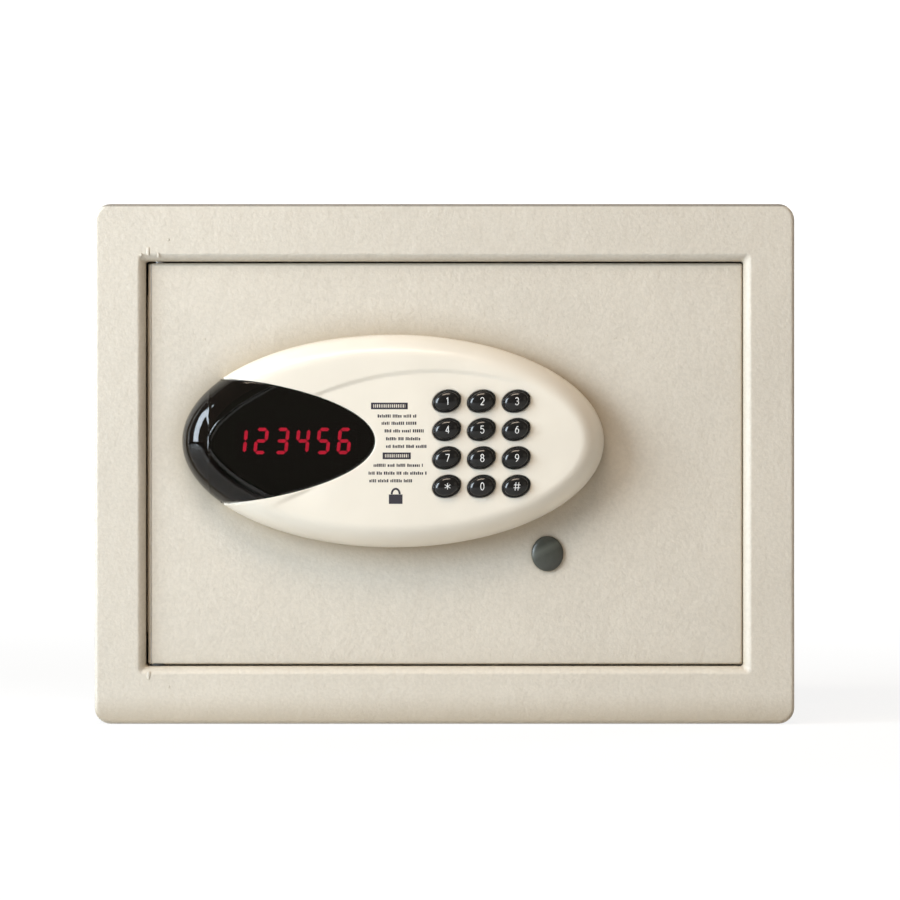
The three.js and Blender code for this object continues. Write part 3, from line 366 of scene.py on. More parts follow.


def powder_coat(name, colour):
    """Baked powder paint: orange peel, soft cloudiness, paler rubbed edges, painted shade near
    other surfaces and a painted dark shade line along the top front edge."""
    m = Material(name)
    tone = m.mix(m.clouds(45, 3), shade(colour, 0.97), shade(colour, 1.03))
    speckle = m.clouds(1.6, 2, 0.38, 0.62)
    tone = m.mix(0.5, tone, m.mix(speckle, shade(colour, 0.93), shade(colour, 1.05)))
    geometry = m.add("NewGeometry")
    rounded = m.add("Bevel", {"samples": 4}, Radius=0.6 * MM)
    turn = m.dot(rounded.outputs["Normal"], geometry.outputs["True Normal"])
    edge = m.span(turn, 0.3, 0, 0.8, 0.98)
    tone = m.mix(edge, tone, shade(colour, 1.15))
    # painted shade: the paint is darkened where other surfaces are near, in corners and under the
    # panel
    corner = m.add("AmbientOcclusion", {"samples": 6}, Distance=SHADE_REACH * MM)
    reached = m.span(corner.outputs["AO"], 0.3, 1, 0.1, 0.45)
    corner_shade = m.times(m.span(corner.outputs["AO"], 1, 0, 0.45, 1), reached)
    tone = m.mix(corner_shade, tone, tuple(c * k for c, k in zip(colour, CORNER_SHADE_TINT)))
    # painted shade: a dark line painted along the top front edge
    part = m.add("SeparateXYZ", Vector=m.coords.outputs["Generated"])
    high = m.span(part.outputs["Z"], 0, 1, *TOP_SHADE_HEIGHT)
    front = m.span(part.outputs["Y"], 1, 0, *TOP_SHADE_DEPTH)
    tone = m.mix(m.times(high, front), tone, shade(colour, 0.4))
    coarse = m.bump(m.noise(11, 2), 0.35)
    peel = m.bump(m.noise(2.1, 2), 0.19, coarse)
    normal = m.bump(m.noise(0.95, 1), 0.06, peel)
    rough = m.span(m.noise(7, 3), 0.38, 0.5)
    return m.surface(Base_Color=tone, Roughness=rough, Normal=normal, Specular_IOR_Level=0.45)


def moulded_plastic(name, colour, rough=0.3, grain=0.012, variation=0.02, coat=0.0):
    m = Material(name)
    darker, paler = shade(colour, 1 - variation), shade(colour, 1 + variation)
    return m.surface(
        Base_Color=m.mix(m.clouds(30, 2), darker, paler),
        Roughness=m.span(m.noise(4, 3), rough * 0.88, rough * 1.12),
        Normal=m.bump(m.noise(0.35, 2), grain),
        Coat_Weight=coat,
        Coat_Roughness=0.08,
    )


def painted_highlight_plastic(name, colour, rough):
    """Moulded plastic with one soft painted highlight, a paler streak slantwise across its upper
    half.
    """
    m = Material(name)
    tone = m.mix(m.clouds(3, 3), shade(colour, 0.94), shade(colour, 1.06))
    across = m.dot(m.coords.outputs["Generated"], (-0.45, 0, 1))
    below = m.span(across, 0, 1, 0.26, 0.43)
    above = m.span(across, 1, 0, 0.45, 0.6)
    # painted highlight: a paler slanted streak stands in for a reflection on the cap
    return m.surface(
        Base_Color=m.mix(m.times(below, above), tone, shade(colour, 1.75)),
        Roughness=m.span(m.noise(4, 3), rough * 0.88, rough * 1.12),
        Normal=m.bump(m.noise(0.35, 2), 0.02),
    )


def plated_steel(name, colour):
    m = Material(name)
    brushed = m.noise(0.4, 3, (1, 1, 12))
    return m.surface(
        Base_Color=m.mix(m.clouds(9, 4, 0.3, 0.7), shade(colour, 0.86), shade(colour, 1.06)),
        Metallic=1.0,
        Roughness=m.span(brushed, 0.24, 0.42),
        Normal=m.bump(brushed, 0.01),
    )


def felt_cloth(name, colour):
    m = Material(name)
    both = m.mix(0.5, m.noise(0.5, 5, (1, 3, 1)), m.noise(0.6, 5, (3, 1, 1)))
    tone = m.mix(m.span(both, 0, 1, 0.35, 0.65), shade(colour, 0.6), shade(colour, 1.5))
    return m.surface(
        Base_Color=tone,
        Roughness=1.0,
        Normal=m.bump(both, 0.3),
        Sheen_Weight=0.4,
        Sheen_Roughness=0.6,
    )


def circuit_board(name):
    """Green lacquer over paler tracks."""
    m = Material(name)
    tracks = m.add(
        "TexBrick",
        Vector=m.place(),
        Scale=1 / (9 * MM),
        Color1=(0.012, 0.11, 0.045),
        Color2=(0.015, 0.13, 0.055),
        Mortar=(0.05, 0.26, 0.12),
        Mortar_Size=0.03,
    )
    return m.surface(
        Base_Color=tracks.outputs["Color"],
        Roughness=m.span(m.noise(3, 2), 0.25, 0.4),
        Normal=m.bump(tracks.outputs["Fac"], 0.05),
    )


def flat_cable(name):
    m = Material(name)
    bands = {"wave_type": "BANDS", "bands_direction": "X"}
    wave = m.add("TexWave", bands, Vector=m.place(), Scale=250).outputs["Fac"]
    tone = m.mix(wave, (0.25, 0.25, 0.27), (0.5, 0.5, 0.53))
    return m.surface(Base_Color=tone, Roughness=0.5, Normal=m.bump(wave, 0.15))


def cell_sleeve(name):
    """A cell's printed sleeve: a plain blue body with a paler band at one end."""
    m = Material(name)
    split = m.add("SeparateXYZ", Vector=m.coords.outputs["Generated"])
    band = m.span(split.outputs["X"], 0, 1, 0.78, 0.8)
    return m.surface(
        Base_Color=m.mix(band, (0.02, 0.06, 0.2), (0.65, 0.66, 0.68)),
        Roughness=m.span(m.noise(5, 2), 0.2, 0.32),
        Metallic=0.3,
        Normal=m.bump(m.noise(0.5, 1), 0.01),
    )


def smoked_acrylic(name):
    """Dark tinted see-through plastic with a polished face."""
    m = Material(name)
    tone = m.mix(m.noise(20, 2), (0.275, 0.25, 0.24), (0.29, 0.265, 0.255))
    tint = m.add("BsdfTransparent", Color=tone)
    gloss = m.add(
        "BsdfGlossy",
        Color=(1, 1, 1),
        Roughness=m.span(m.noise(6, 2), 0.05, 0.09),
        Normal=m.bump(m.noise(9, 1), 0.02),
    )
    facing = m.add("Fresnel", IOR=1.5)
    geometry = m.add("NewGeometry")
    outside = m.span(geometry.outputs["Backfacing"], 1, 0)
    return m.done(m.blend(m.times(facing.outputs["Fac"], outside), tint, gloss))


def lit_segment(name):
    m = Material(name)
    return m.surface(
        Base_Color=(0.5, 0.01, 0.03),
        Roughness=0.4,
        Emission_Color=(0.94, 0.021, 0.08),
        Emission_Strength=m.span(m.noise(2.5, 1), 5.0, 6.6, 0.3, 0.7),
    )


IVORY = srgb(215, 207, 193)
CREAM = srgb(239, 231, 216)
FINISHES = {
    "paint": powder_coat("ivory_powder_coat", IVORY),
    "steel": plated_steel("zinc_plated_steel", (0.55, 0.56, 0.57)),
    "brass": plated_steel("turned_brass", (0.62, 0.42, 0.14)),
    "cream": moulded_plastic("cream_plastic", CREAM, rough=0.34, coat=0.15),
    "lens": smoked_acrylic("smoked_acrylic"),
    "key": moulded_plastic("glossy_black_key", (0.009, 0.009, 0.009), 0.13, 0.004, 0.2),
    "mark": moulded_plastic("white_key_print", (0.86, 0.86, 0.84), 0.5),
    "print": moulded_plastic("dark_panel_print", (0.035, 0.03, 0.04), 0.6),
    "black": moulded_plastic("black_moulded_plastic", (0.02, 0.02, 0.02), 0.5, 0.03, 0.15),
    "cap": painted_highlight_plastic("grey_cap_plastic", srgb(70, 72, 66), 0.3),
    "board": circuit_board("green_circuit_board"),
    "rubber": moulded_plastic("grey_silicone", (0.3, 0.3, 0.29), 0.7, 0.02, 0.06),
    "cable": flat_cable("grey_flat_cable"),
    "felt": felt_cloth("dark_grey_felt", (0.045, 0.047, 0.05)),
    "cell": cell_sleeve("cell_sleeve"),
    "digit": lit_segment("red_lit_segment"),
}


def finish_with(piece, finish):
    piece.data.materials.clear()
    piece.data.materials.append(FINISHES[finish])


def settle(piece, body, finish, slot, *nodes):
    """Gives a new piece its finish, its body and the CAD nodes it stands for."""
    finish_with(piece, finish)
    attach(piece, body)
    if nodes:
        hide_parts(*nodes)
    return piece


# ---------------------------------------------------------------- paint nibs
# Small lumps that the paint has run over: place (x, z) and half sizes along x and z.
FRAME_NIBS = [
    (-148.3, 236.3, (0.9, 2.4)),
    (-143.2, 234.4, (0.7, 1.4)),
    (-138.0, 242.0, (0.6, 0.6)),
    (-148.1, 24.2, (1.0, 2.1)),
    (-137.8, 18.6, (0.6, 0.6)),
    (-151.8, 234.6, (0.8, 0.9)),
]
DOOR_NIBS = [
    (51.2, 194.3, (0.6, 0.45)),
    (85.4, 193.0, (0.9, 0.4)),
    (-120.2, 192.4, (0.7, 0.5)),
    (40.5, 199.0, (0.35, 0.35)),
]


def nib(place, size):
    """A shallow blob, half sunk in the surface it sits on."""
    work = bmesh.new()
    bmesh.ops.create_icosphere(work, subdivisions=3, radius=1.0)
    depth = 0.4 * min(size)
    for v in work.verts:
        wobble = 1 + 0.12 * math.sin(5 * v.co.x + 3 * v.co.z + place[0])
        x, z = v.co.x * size[0] * wobble, v.co.z * size[1] * wobble
        v.co = Vector((place[0] + x, place[1] + v.co.y * depth, place[2] + z)) * MM
    mesh = bpy.data.meshes.new("nib")
    work.to_mesh(mesh)
    work.free()
    return in_scene("nib", mesh)


# ---------------------------------------------------------------- cabinet
# A narrow flat band beside each rounding keeps the shading of a large face even.
FLAT_BAND = 0.5


def inset_ring(inset, y, radius):
    outline = rounded_rect(-HALF_W + inset, HALF_W - inset, inset, HEIGHT - inset, radius)
    return at_depth(outline, y)


def opening_ring(grow, y, radius):
    outline = rounded_rect(-OPEN_X - grow, OPEN_X + grow, OPEN_Z0 - grow, OPEN_Z1 + grow, radius)
    return at_depth(outline, y)


def cabinet_shell():
    """The wrap, the front frame and the jamb rolled in round the door opening, as one skin."""
    edge = 1.8
    rear = BACK[0].y - 0.15
    rings = [inset_ring(0, rear, CORNER_R)]
    for a in quarter(6):
        inset = edge * (1 - math.cos(a))
        rings.append(inset_ring(inset, FRONT_Y + edge * (1 - math.sin(a)), CORNER_R - inset))
    rings.append(inset_ring(edge + FLAT_BAND, FRONT_Y, CORNER_R - edge - FLAT_BAND))
    rings.append(opening_ring(BEND_R + FLAT_BAND, FRONT_Y, 1.2 + 0.3 * BEND_R + FLAT_BAND))
    for a in quarter(8):
        grow = BEND_R * (1 - math.sin(a) ** BEND_EASE)
        deep = BEND_R * (1 - math.cos(a) ** BEND_EASE)
        rings.append(opening_ring(grow, FRONT_Y + deep, 1.2 + 0.3 * grow))
    rings.append(opening_ring(0, JAMB_Y - 0.4, 1.2))
    rings.append(opening_ring(0.4, JAMB_Y, 1.4))
    rings.append(opening_ring(SHEET, JAMB_Y, 1.8))
    inner_bend = BEND_R - SHEET
    for a in quarter(4):
        grow = BEND_R - inner_bend * math.cos(a)
        rings.append(opening_ring(grow, FRONT_Y + BEND_R - inner_bend * math.sin(a), 2.2))
    rings.append(inset_ring(SHEET, FRONT_Y + SHEET, CORNER_R - SHEET))
    rings.append(inset_ring(SHEET, rear, CORNER_R - SHEET))
    shell = loft("cabinet_shell", rings, closed=True)
    low, high = box_mm("hinge_pin_lower")
    pin_at = ((low.x + high.x) / 2, (low.y + high.y) / 2)
    pin_hole = 2.6
    holes = [bar("z", pin_hole, pin_at, OPEN_Z0 - 6, OPEN_Z0 + 2)]
    holes.append(bar("z", pin_hole, pin_at, OPEN_Z1 - 2, OPEN_Z1 + 6))
    holes += [bar("z", FIXING_R, (x, FIXING_Y), -1, SHEET + 1) for x in FIXING_X]
    carve(shell, holes)
    smooth(shell, SMOOTH_ANGLE)
    carve(shell, [nib((x, FRONT_Y, z), size) for x, z, size in FRAME_NIBS], "UNION")
    smooth(shell, FLAT_ANGLE)
    return settle(shell, "cabinet", "paint", "body_paint", "cabinet_wrap", "front_frame")


def back_sheet():
    """The rear sheet, let in and welded round its edge; its own edge is rounded."""
    edge = 1.2
    rings = [inset_ring(0.5, BACK[0].y, CORNER_R - 0.5), inset_ring(0, BACK[0].y + 0.3, CORNER_R)]
    for a in quarter(4):
        inset = edge * (1 - math.cos(a))
        rings.append(inset_ring(inset, BACK_Y - edge * (1 - math.sin(a)), CORNER_R - inset))
    sheet = loft("back_sheet", rings)
    carve(sheet, [bar("y", FIXING_R, (x, FIXING_Z), BACK_Y - 6, BACK_Y + 2) for x in FIXING_X])
    smooth(sheet, SMOOTH_ANGLE)
    return settle(sheet, "cabinet", "paint", "body_paint", "back_panel")


# ---------------------------------------------------------------- door
def door_leaf():
    """The door's plate. Its hinge edge is rolled to a larger radius, so that it clears the jamb
    as the door swings, and a fine groove runs beside the roll."""
    low, high = DOOR
    edge = 1.0
    roll = 2.8
    grow_left, grow_right, grow_end = 1.35, 0.45, 0.4
    x0, x1 = low.x - grow_left, high.x + grow_right
    z0, z1 = low.z - grow_end, high.z + grow_end
    rings = []

    def ring(inset, left_inset, y):
        outline = rounded_rect(x0 + left_inset, x1 - inset, z0 + inset, z1 - inset, 1.2)
        rings.append(at_depth(outline, y))

    ring(0.3, 0.3, DOOR_Y1)
    ring(0, 0, DOOR_Y1 - 0.3)
    depths = {edge * (1 - math.sin(a)) for a in quarter(5)}
    depths |= {roll * (1 - math.sin(a)) for a in quarter(8)}
    for depth in sorted(depths, reverse=True):
        inset = edge - math.sqrt(max(0, edge**2 - (edge - min(depth, edge)) ** 2))
        left_inset = roll - math.sqrt(max(0, roll**2 - (roll - depth) ** 2))
        ring(inset, left_inset, DOOR_Y0 + depth)
    ring(edge + FLAT_BAND, roll + FLAT_BAND, DOOR_Y0)
    leaf = loft("door_leaf", rings)
    screws = [middle_xz(f"cover_screw_{i}") for i in range(1, 5)]
    carve(leaf, [bar("y", 4, at, DOOR_Y1 - 1, high.y) for at in screws], "UNION")
    cuts = [bar("y", 1.6, at, high.y - 10, high.y + 1, 16) for at in screws]
    for node, below, above in (("hinge_block_lower", 3.2, 0.2), ("hinge_block_upper", 0.2, 3.2)):
        start, end = box_mm(node)
        corner = (x0 - 2, start.y - 0.2, start.z - below)
        cuts.append(block(corner, (end.x + 0.2, DOOR_Y1 + 2, end.z + above)))
    through = (DOOR_Y0 - 2, DOOR_Y1 + 2)
    lock_at = middle_xz("lock_cylinder")
    cuts.append(bar("y", 7.1, lock_at, *through))
    cuts.append(bar("y", 8.0, lock_at, DOOR_Y0 - 2, DOOR_Y0 + 1.4))
    cuts.append(bar("y", 8, (middle_xz("ribbon_cable")[0], PANEL_Z - 0.4), *through))
    groove_x = x0 + 1.75
    cuts.append(block((groove_x, DOOR_Y0 - 1, z0 - 1), (groove_x + 0.4, DOOR_Y0 + 1.6, z1 + 1)))
    cuts += [bar("y", 2.2, middle_xz(f"panel_screw_{i}"), *through, 16) for i in (1, 2)]
    carve(leaf, cuts)
    smooth(leaf, SMOOTH_ANGLE)
    carve(leaf, [nib((x, DOOR_Y0, z), size) for x, z, size in DOOR_NIBS], "UNION")
    smooth(leaf, FLAT_ANGLE)
    return settle(leaf, "door", "paint", "body_paint", "door_plate")


# ---------------------------------------------------------------- electronic panel
def smoothstep(value):
    t = np.clip(value, 0, 1)
    return t * t * (3 - 2 * t)


def panel_share(x, z):
    """0 at the panel's centre and 1 on its outline."""
    return np.hypot(x / PANEL_A, z / PANEL_B)


def on_panel(points):
    """Moves points from the panel's centre on the door's face to their place on the safe."""
    return [(PANEL_X + x, DOOR_Y0 + y, PANEL_Z + z) for x, y, z in points]


def dome_height(x, z):
    """Height of the panel's plain dome above the door at (x, z) from the panel's centre."""
    share = np.clip(panel_share(x, z), 1e-6, 1)
    slope = np.hypot(x / PANEL_A**2, z / PANEL_B**2) / share
    from_edge = (1 - share) / np.maximum(slope, 1e-6)
    over = np.clip(1 - from_edge / PANEL_SHOULDER, 0, 1)
    face = PANEL_H - PANEL_CROWN * share**2
    return PANEL_RIM + (face - PANEL_RIM) * np.sqrt(1 - over**2)


CREASE_TOP = (21, 35.4)  # the long style line's highest point, and how fast it falls away
CREASE_CURVE = 0.0034
CREASE_STEP = 0.9  # the depth and width of its step, and how slowly the face comes back
CREASE_WIDTH = 1.3
CREASE_RECOVERY = 26
CREASE_FADE = (44, 34)  # where it starts to fade, and over what length
SHORT_AT = (-46.5, -26.2)  # a point of the short style line, its direction and its depth
SHORT_WAY = (0.907, 0.42)
SHORT_STEP = 0.75


def upper_crease(x):
    """The long style line, an arc from the lens towards the panel's right end."""
    return CREASE_TOP[1] - CREASE_CURVE * (x - CREASE_TOP[0]) ** 2


def panel_height(x, z):
    """The dome with its two style lines: past each line the surface steps in and eases back out."""
    below = upper_crease(x) - z
    fade = 1 - smoothstep((x - CREASE_FADE[0]) / CREASE_FADE[1])
    recovery = np.exp(-np.clip(below - CREASE_WIDTH, 0, None) / CREASE_RECOVERY)
    step = CREASE_STEP * smoothstep(below / CREASE_WIDTH) * recovery
    along = (SHORT_AT[0] - x) * SHORT_WAY[0] + (SHORT_AT[1] - z) * SHORT_WAY[1]
    across = (x - SHORT_AT[0]) * SHORT_WAY[1] - (z - SHORT_AT[1]) * SHORT_WAY[0]
    short = smoothstep((across + 0.8) / 1.6) * np.exp(-np.clip(across - 0.8, 0, None) / 9)
    tail = (1 - smoothstep((along - 2) / 20)) * smoothstep((along + 16) / 14)
    return dome_height(x, z) - step * fade - SHORT_STEP * short * tail


def lens_half(x):
    """Half the lens's height at x from the panel's centre."""
    t = np.clip((x - LENS_CORNER) / (LENS_TIP - LENS_CORNER), 0, 1)
    return LENS_HALF * np.sqrt(1 - t**1.5)


def eye_half(x):
    return EYE_OPEN * np.clip(x - EYE_APEX, 0, None) ** EYE_POWER


def eye_slope(run):
    """Slope of the window's contour at this distance from its left end."""
    return EYE_POWER * EYE_OPEN * np.clip(run, 0.5, None) ** (EYE_POWER - 1)


def lens_height(x, z):
    """A convex band at the blunt end, and a flat window let in behind a short steep wall."""
    at_apex, at_tip = 17.2, 19.3
    flat = at_apex + (at_tip - at_apex) * (x - EYE_APEX) / (LENS_TIP - EYE_APEX)
    inside = (eye_half(x) - np.abs(z)) / np.sqrt(1 + eye_slope(x - EYE_APEX) ** 2)
    inside = np.where(x < EYE_APEX, x - EYE_APEX, inside)
    window = smoothstep((inside + 0.2) / EYE_WALL)
    band = dome_height(x, z) - 0.15
    tail = smoothstep((LENS_TIP - 18 - x) / 30)
    bead = EYE_BEAD * np.exp(-(((inside + EYE_BEAD_W) / EYE_BEAD_W) ** 2)) * tail
    return band * (1 - window) + np.minimum(flat, band) * window + bead


def eye_edge(offset):
    """Points along the window's contour, moved inwards by offset."""
    u = np.linspace(0, 1, 90) ** 1.8 * 36
    x = EYE_APEX + u
    slope = eye_slope(u)
    long = np.sqrt(1 + slope**2)
    upper = np.stack([x + offset * slope / long, eye_half(x) - offset / long], axis=1)
    lower = upper * np.array([1, -1])
    return np.concatenate([upper[::-1], lower])


def lens_curve(grow):
    """The lens's curved edge, from its upper corner round the tip, moved out by grow."""
    points = []
    for u in np.linspace(0, math.pi, 70):
        s = math.sin(u) ** 0.8 if 0 < u < math.pi else 0.0
        px = LENS_CORNER + s * (LENS_TIP - LENS_CORNER)
        sign = 1 if u <= math.pi / 2 else -1
        points.append((px, sign * float(lens_half(np.array(px)))))
    points = np.array(points)
    along = np.gradient(points, axis=0)
    along /= np.linalg.norm(along, axis=1)[:, None]
    normal = np.stack([-along[:, 1], along[:, 0]], axis=1)
    return points + normal * grow


def panel_arc(from_angle, to_angle, spacing=1.3):
    """Points on the panel's outline; angles are the ellipse's own, anticlockwise."""
    steps = int(abs(to_angle - from_angle) * (PANEL_A + PANEL_B) / 2 / spacing)
    angles = np.linspace(from_angle, to_angle, steps)
    return np.stack([PANEL_A * np.cos(angles), PANEL_B * np.sin(angles)], axis=1)


def key_turned(u, v):
    """From a key's own tilted axes to the panel's."""
    cos, sin = math.cos(KEY_TILT), math.sin(KEY_TILT)
    return u * cos - v * sin, u * sin + v * cos


def key_unturned(x, z):
    """From the panel's axes to a key's own."""
    cos, sin = math.cos(KEY_TILT), math.sin(KEY_TILT)
    return x * cos + z * sin, z * cos - x * sin


def key_hole(centre, grow):
    angles = np.linspace(0, 2 * math.pi, 72, endpoint=False)
    u = (KEY_A + grow) * np.cos(angles)
    v = (KEY_B + grow) * np.sin(angles)
    x, z = key_turned(u, v)
    return np.stack([centre[0] + x, centre[1] + z], axis=1)


def loop_normals(loop, inner_side):
    """Unit normals of a closed loop that point off the sheet; inner_side is 1 for an outline
    and -1 for a hole."""
    along = np.roll(loop, -1, axis=0) - np.roll(loop, 1, axis=0)
    along /= np.linalg.norm(along, axis=1)[:, None]
    return np.stack([along[:, 1], -along[:, 0]], axis=1) * inner_side


def scattered(inside, low, high, spacing):
    """A triangular grid of points that pass the inside test."""
    xs = np.arange(low[0], high[0], spacing)
    zs = np.arange(low[1], high[1], spacing * math.sqrt(3) / 2)
    grid_x, grid_z = np.meshgrid(xs, zs)
    grid_x = grid_x + (np.arange(len(zs)) % 2)[:, None] * spacing / 2
    points = np.stack([grid_x.ravel(), grid_z.ravel()], axis=1)
    return points[inside(points[:, 0], points[:, 1])]


def apart_from(points, loops, distance):
    keep = np.ones(len(points), bool)
    for loop in loops:
        gaps = np.linalg.norm(points[:, None, :] - loop[None, :, :], axis=2).min(axis=1)
        keep &= gaps > distance
    return points[keep]


def inner_points(inside, right, spacing, arc):
    """Points within a sheet: an even grid, and rings that crowd towards the outline."""
    middle = scattered(
        lambda x, z: inside(x, z) & (panel_share(x, z) < 0.93),
        (-PANEL_A, -PANEL_B),
        (right, PANEL_B),
        spacing,
    )
    ringed = np.concatenate([arc * (1 - (k / 88) ** 2) for k in range(1, 24)])
    return middle, ringed[inside(*ringed.T)]


def sheet(name, loops, scatter, inside, height, rims, wall=1.5):
    """A closed shell over a flat outline with holes.

    loops are the edges of the open face; rims gives each loop its outward normals, its rounding
    radius per point and the level each point's wall goes down to; height lifts the face; the
    shell is then thickened inwards.
    """
    flat = np.concatenate(loops + [scatter])
    edges = []
    for loop in loops:
        start, count = len(edges), len(loop)
        edges += [(start + i, start + (i + 1) % count) for i in range(count)]
    points, _, triangles, *_ = delaunay_2d_cdt([Vector(p) for p in flat], edges, [], 0, 1e-5)
    points = np.array([tuple(p) for p in points])
    centres = points[np.array(triangles)].mean(axis=1)
    keep = inside(centres[:, 0], centres[:, 1])
    faces = [tuple(t) for t, k in zip(triangles, keep) if k]
    lifted = height(points[:, 0], points[:, 1])
    verts = [(x, -h, z) for (x, z), h in zip(points, lifted)]
    for loop, (normals, radius, floor) in zip(loops, rims):
        rows = []
        for a in quarter(4):
            edge = loop + normals * (radius * math.sin(a))[:, None]
            level = height(*edge.T) - radius * (1 - math.cos(a))
            rows.append([(x, -h, z) for (x, z), h in zip(edge, level)])
        edge = loop + normals * radius[:, None]
        rows.append([(x, -h, z) for (x, z), h in zip(edge, floor)])
        base, count = len(verts), len(loop)
        for row in rows:
            verts += row
        for r in range(len(rows) - 1):
            faces += ring_quads(base + r * count, base + (r + 1) * count, count)
    piece = outward(new_object(name, on_panel(verts), faces))
    if sum(p.normal.y * p.area for p in piece.data.polygons) > 0:
        piece.data.flip_normals()
    shell = piece.modifiers.new("wall", "SOLIDIFY")
    shell.thickness = wall * MM
    shell.offset = -1
    apply_modifiers(piece)
    smooth(piece, 50)
    return piece


def panel_shell():
    lip = 0.45
    corner_angle = math.acos(LENS_CORNER / PANEL_A)
    arc = panel_arc(corner_angle, -corner_angle)
    curve = lens_curve(LENS_GAP + lip)
    curve = curve[panel_share(*curve.T) < 0.995]
    outline = np.concatenate([arc, curve[::-1]])[::-1]
    on_arc = np.array([True] * len(arc) + [False] * len(curve))[::-1]
    outline_normals = loop_normals(outline, 1)
    radius = np.where(on_arc, 0.0, lip)
    level = panel_height(outline[:, 0], outline[:, 1])
    floor = np.where(on_arc, 0.0, level - 2.6)
    holes = []
    rims = [(outline_normals, radius, floor)]
    for label in KEY_LABELS:
        x, z = KEY_CENTRES[label]
        centre = (x - PANEL_X, z - PANEL_Z)
        hole = key_hole(centre, KEY_GAP + lip)
        holes.append(hole)
        depth = panel_height(hole[:, 0], hole[:, 1]) - 2.6
        rims.append((loop_normals(hole, -1), np.full(len(hole), lip), depth))

    def inside(x, z):
        in_lens = np.abs(z) < lens_half(x - 0.3) + LENS_GAP + lip * 0.9
        keep = (panel_share(x, z) < 1) & ~((x < LENS_TIP + LENS_GAP + lip) & in_lens)
        for label in KEY_LABELS:
            kx, kz = KEY_CENTRES[label]
            dx, dz = x - (kx - PANEL_X), z - (kz - PANEL_Z)
            u, v = key_unturned(dx, dz)
            grow = KEY_GAP + lip
            keep &= np.hypot(u / (KEY_A + grow), v / (KEY_B + grow)) > 1
        return keep

    longer = panel_arc(corner_angle + 0.35, -corner_angle - 0.35)
    near = [curve] + holes
    groups = inner_points(inside, PANEL_A, 1.15, longer)
    scatter = np.concatenate([apart_from(points, near, 0.7) for points in groups])
    shell = sheet("panel_shell", [outline] + holes, scatter, inside, panel_height, rims)
    return settle(shell, "door", "cream", "panel_plastic", "panel_housing")


# Rows of points along the window's edge, by how far inside it they run.
EYE_ROWS = (-1.4, -1.1, -0.85, -0.65, -0.5, -0.35, -0.2, 0, 0.2, 0.4, 0.65)


def panel_lens():
    lip = 0.5
    corner_angle = math.acos(LENS_CORNER / PANEL_A)
    arc = panel_arc(corner_angle + 0.004, 2 * math.pi - corner_angle - 0.004, 0.9)
    curve = lens_curve(-LENS_GAP - lip)
    curve = curve[panel_share(*curve.T) < 0.992]
    outline = np.concatenate([arc, curve[::-1]])
    on_arc = np.array([True] * len(arc) + [False] * len(curve))
    radius = np.where(on_arc, 0.0, lip)
    level = lens_height(outline[:, 0], outline[:, 1])
    floor = np.where(on_arc, 0.2, level - 2.8)
    rims = [(loop_normals(outline, 1), radius, floor)]

    def inside(x, z):
        in_lens = np.abs(z) < lens_half(x + 0.3) - LENS_GAP - lip * 0.9
        return (panel_share(x, z) < 1) & (x < LENS_TIP) & in_lens

    eye = np.concatenate([eye_edge(offset) for offset in EYE_ROWS])
    eye = eye[inside(*eye.T) & (panel_share(*eye.T) < 0.985)]
    eye = apart_from(eye, [curve], 0.3)
    groups = inner_points(inside, 0, 0.75, arc)
    scatter = np.concatenate([apart_from(points, [curve, eye], 0.4) for points in groups] + [eye])
    lens = sheet("panel_lens", [outline], scatter, inside, lens_height, rims, 0.7)
    return settle(lens, "door", "lens", "lens", "display_lens")


SEGMENTS = {"1": "bc", "2": "abged", "3": "abgcd", "4": "fgbc", "5": "afgcd", "6": "afgecd"}


def display_digits():
    """Six lit seven-segment figures, slanted, on the front of the display module."""
    module = box_mm("display_module")
    face = module[0].y - 0.08
    height, width, stroke, pitch = 13.2, 6.7, 1.7, 10.35
    slant = 0.1
    right = PANEL_X - 20.8
    gap = 0.2
    half = stroke / 2
    middle = height / 2
    bars = {
        "a": (False, half, width - half, height - half),
        "g": (False, half, width - half, middle),
        "d": (False, half, width - half, half),
        "b": (True, middle, height - half, width - half),
        "c": (True, half, middle, width - half),
        "f": (True, middle, height - half, half),
        "e": (True, half, middle, half),
    }
    points, faces = [], []

    def stroke_bar(upright, start, end, at, origin):
        start, end = start + gap, end - gap
        outline = [
            (start, 0),
            (start + half, half),
            (end - half, half),
            (end, 0),
            (end - half, -half),
            (start + half, -half),
        ]
        ends = []
        for y in (face, module[0].y - 0.02):
            for along, across in outline:
                u, v = (at + across, along) if upright else (along, at + across)
                ends.append((origin + u + slant * (v - middle), y, PANEL_Z - middle + v))
        add_prism(points, faces, ends)

    for place, figure in enumerate("123456"):
        origin = right - width - (5 - place) * pitch
        for segment in SEGMENTS[figure]:
            stroke_bar(*bars[segment], origin)
    digits = smooth_outward("display_digits", points, faces)
    return settle(digits, "door", "digit", "lens")


# ---------------------------------------------------------------- print on the panel
def conform(outline, thickness):
    """Both ends of a thin patch that follows the panel; outline is (x, z) from its centre."""
    outline = np.asarray(outline, float)
    level = panel_height(outline[:, 0], outline[:, 1])
    top = [(x, -(h + thickness), z) for (x, z), h in zip(outline, level)]
    bottom = [(x, -(h - 0.15), z) for (x, z), h in zip(outline, level)]
    return top + bottom


def dash(x0, x1, z0, z1, per_side=2):
    xs = np.linspace(x0, x1, per_side)
    return [(x, z0) for x in xs] + [(x, z1) for x in xs[::-1]]


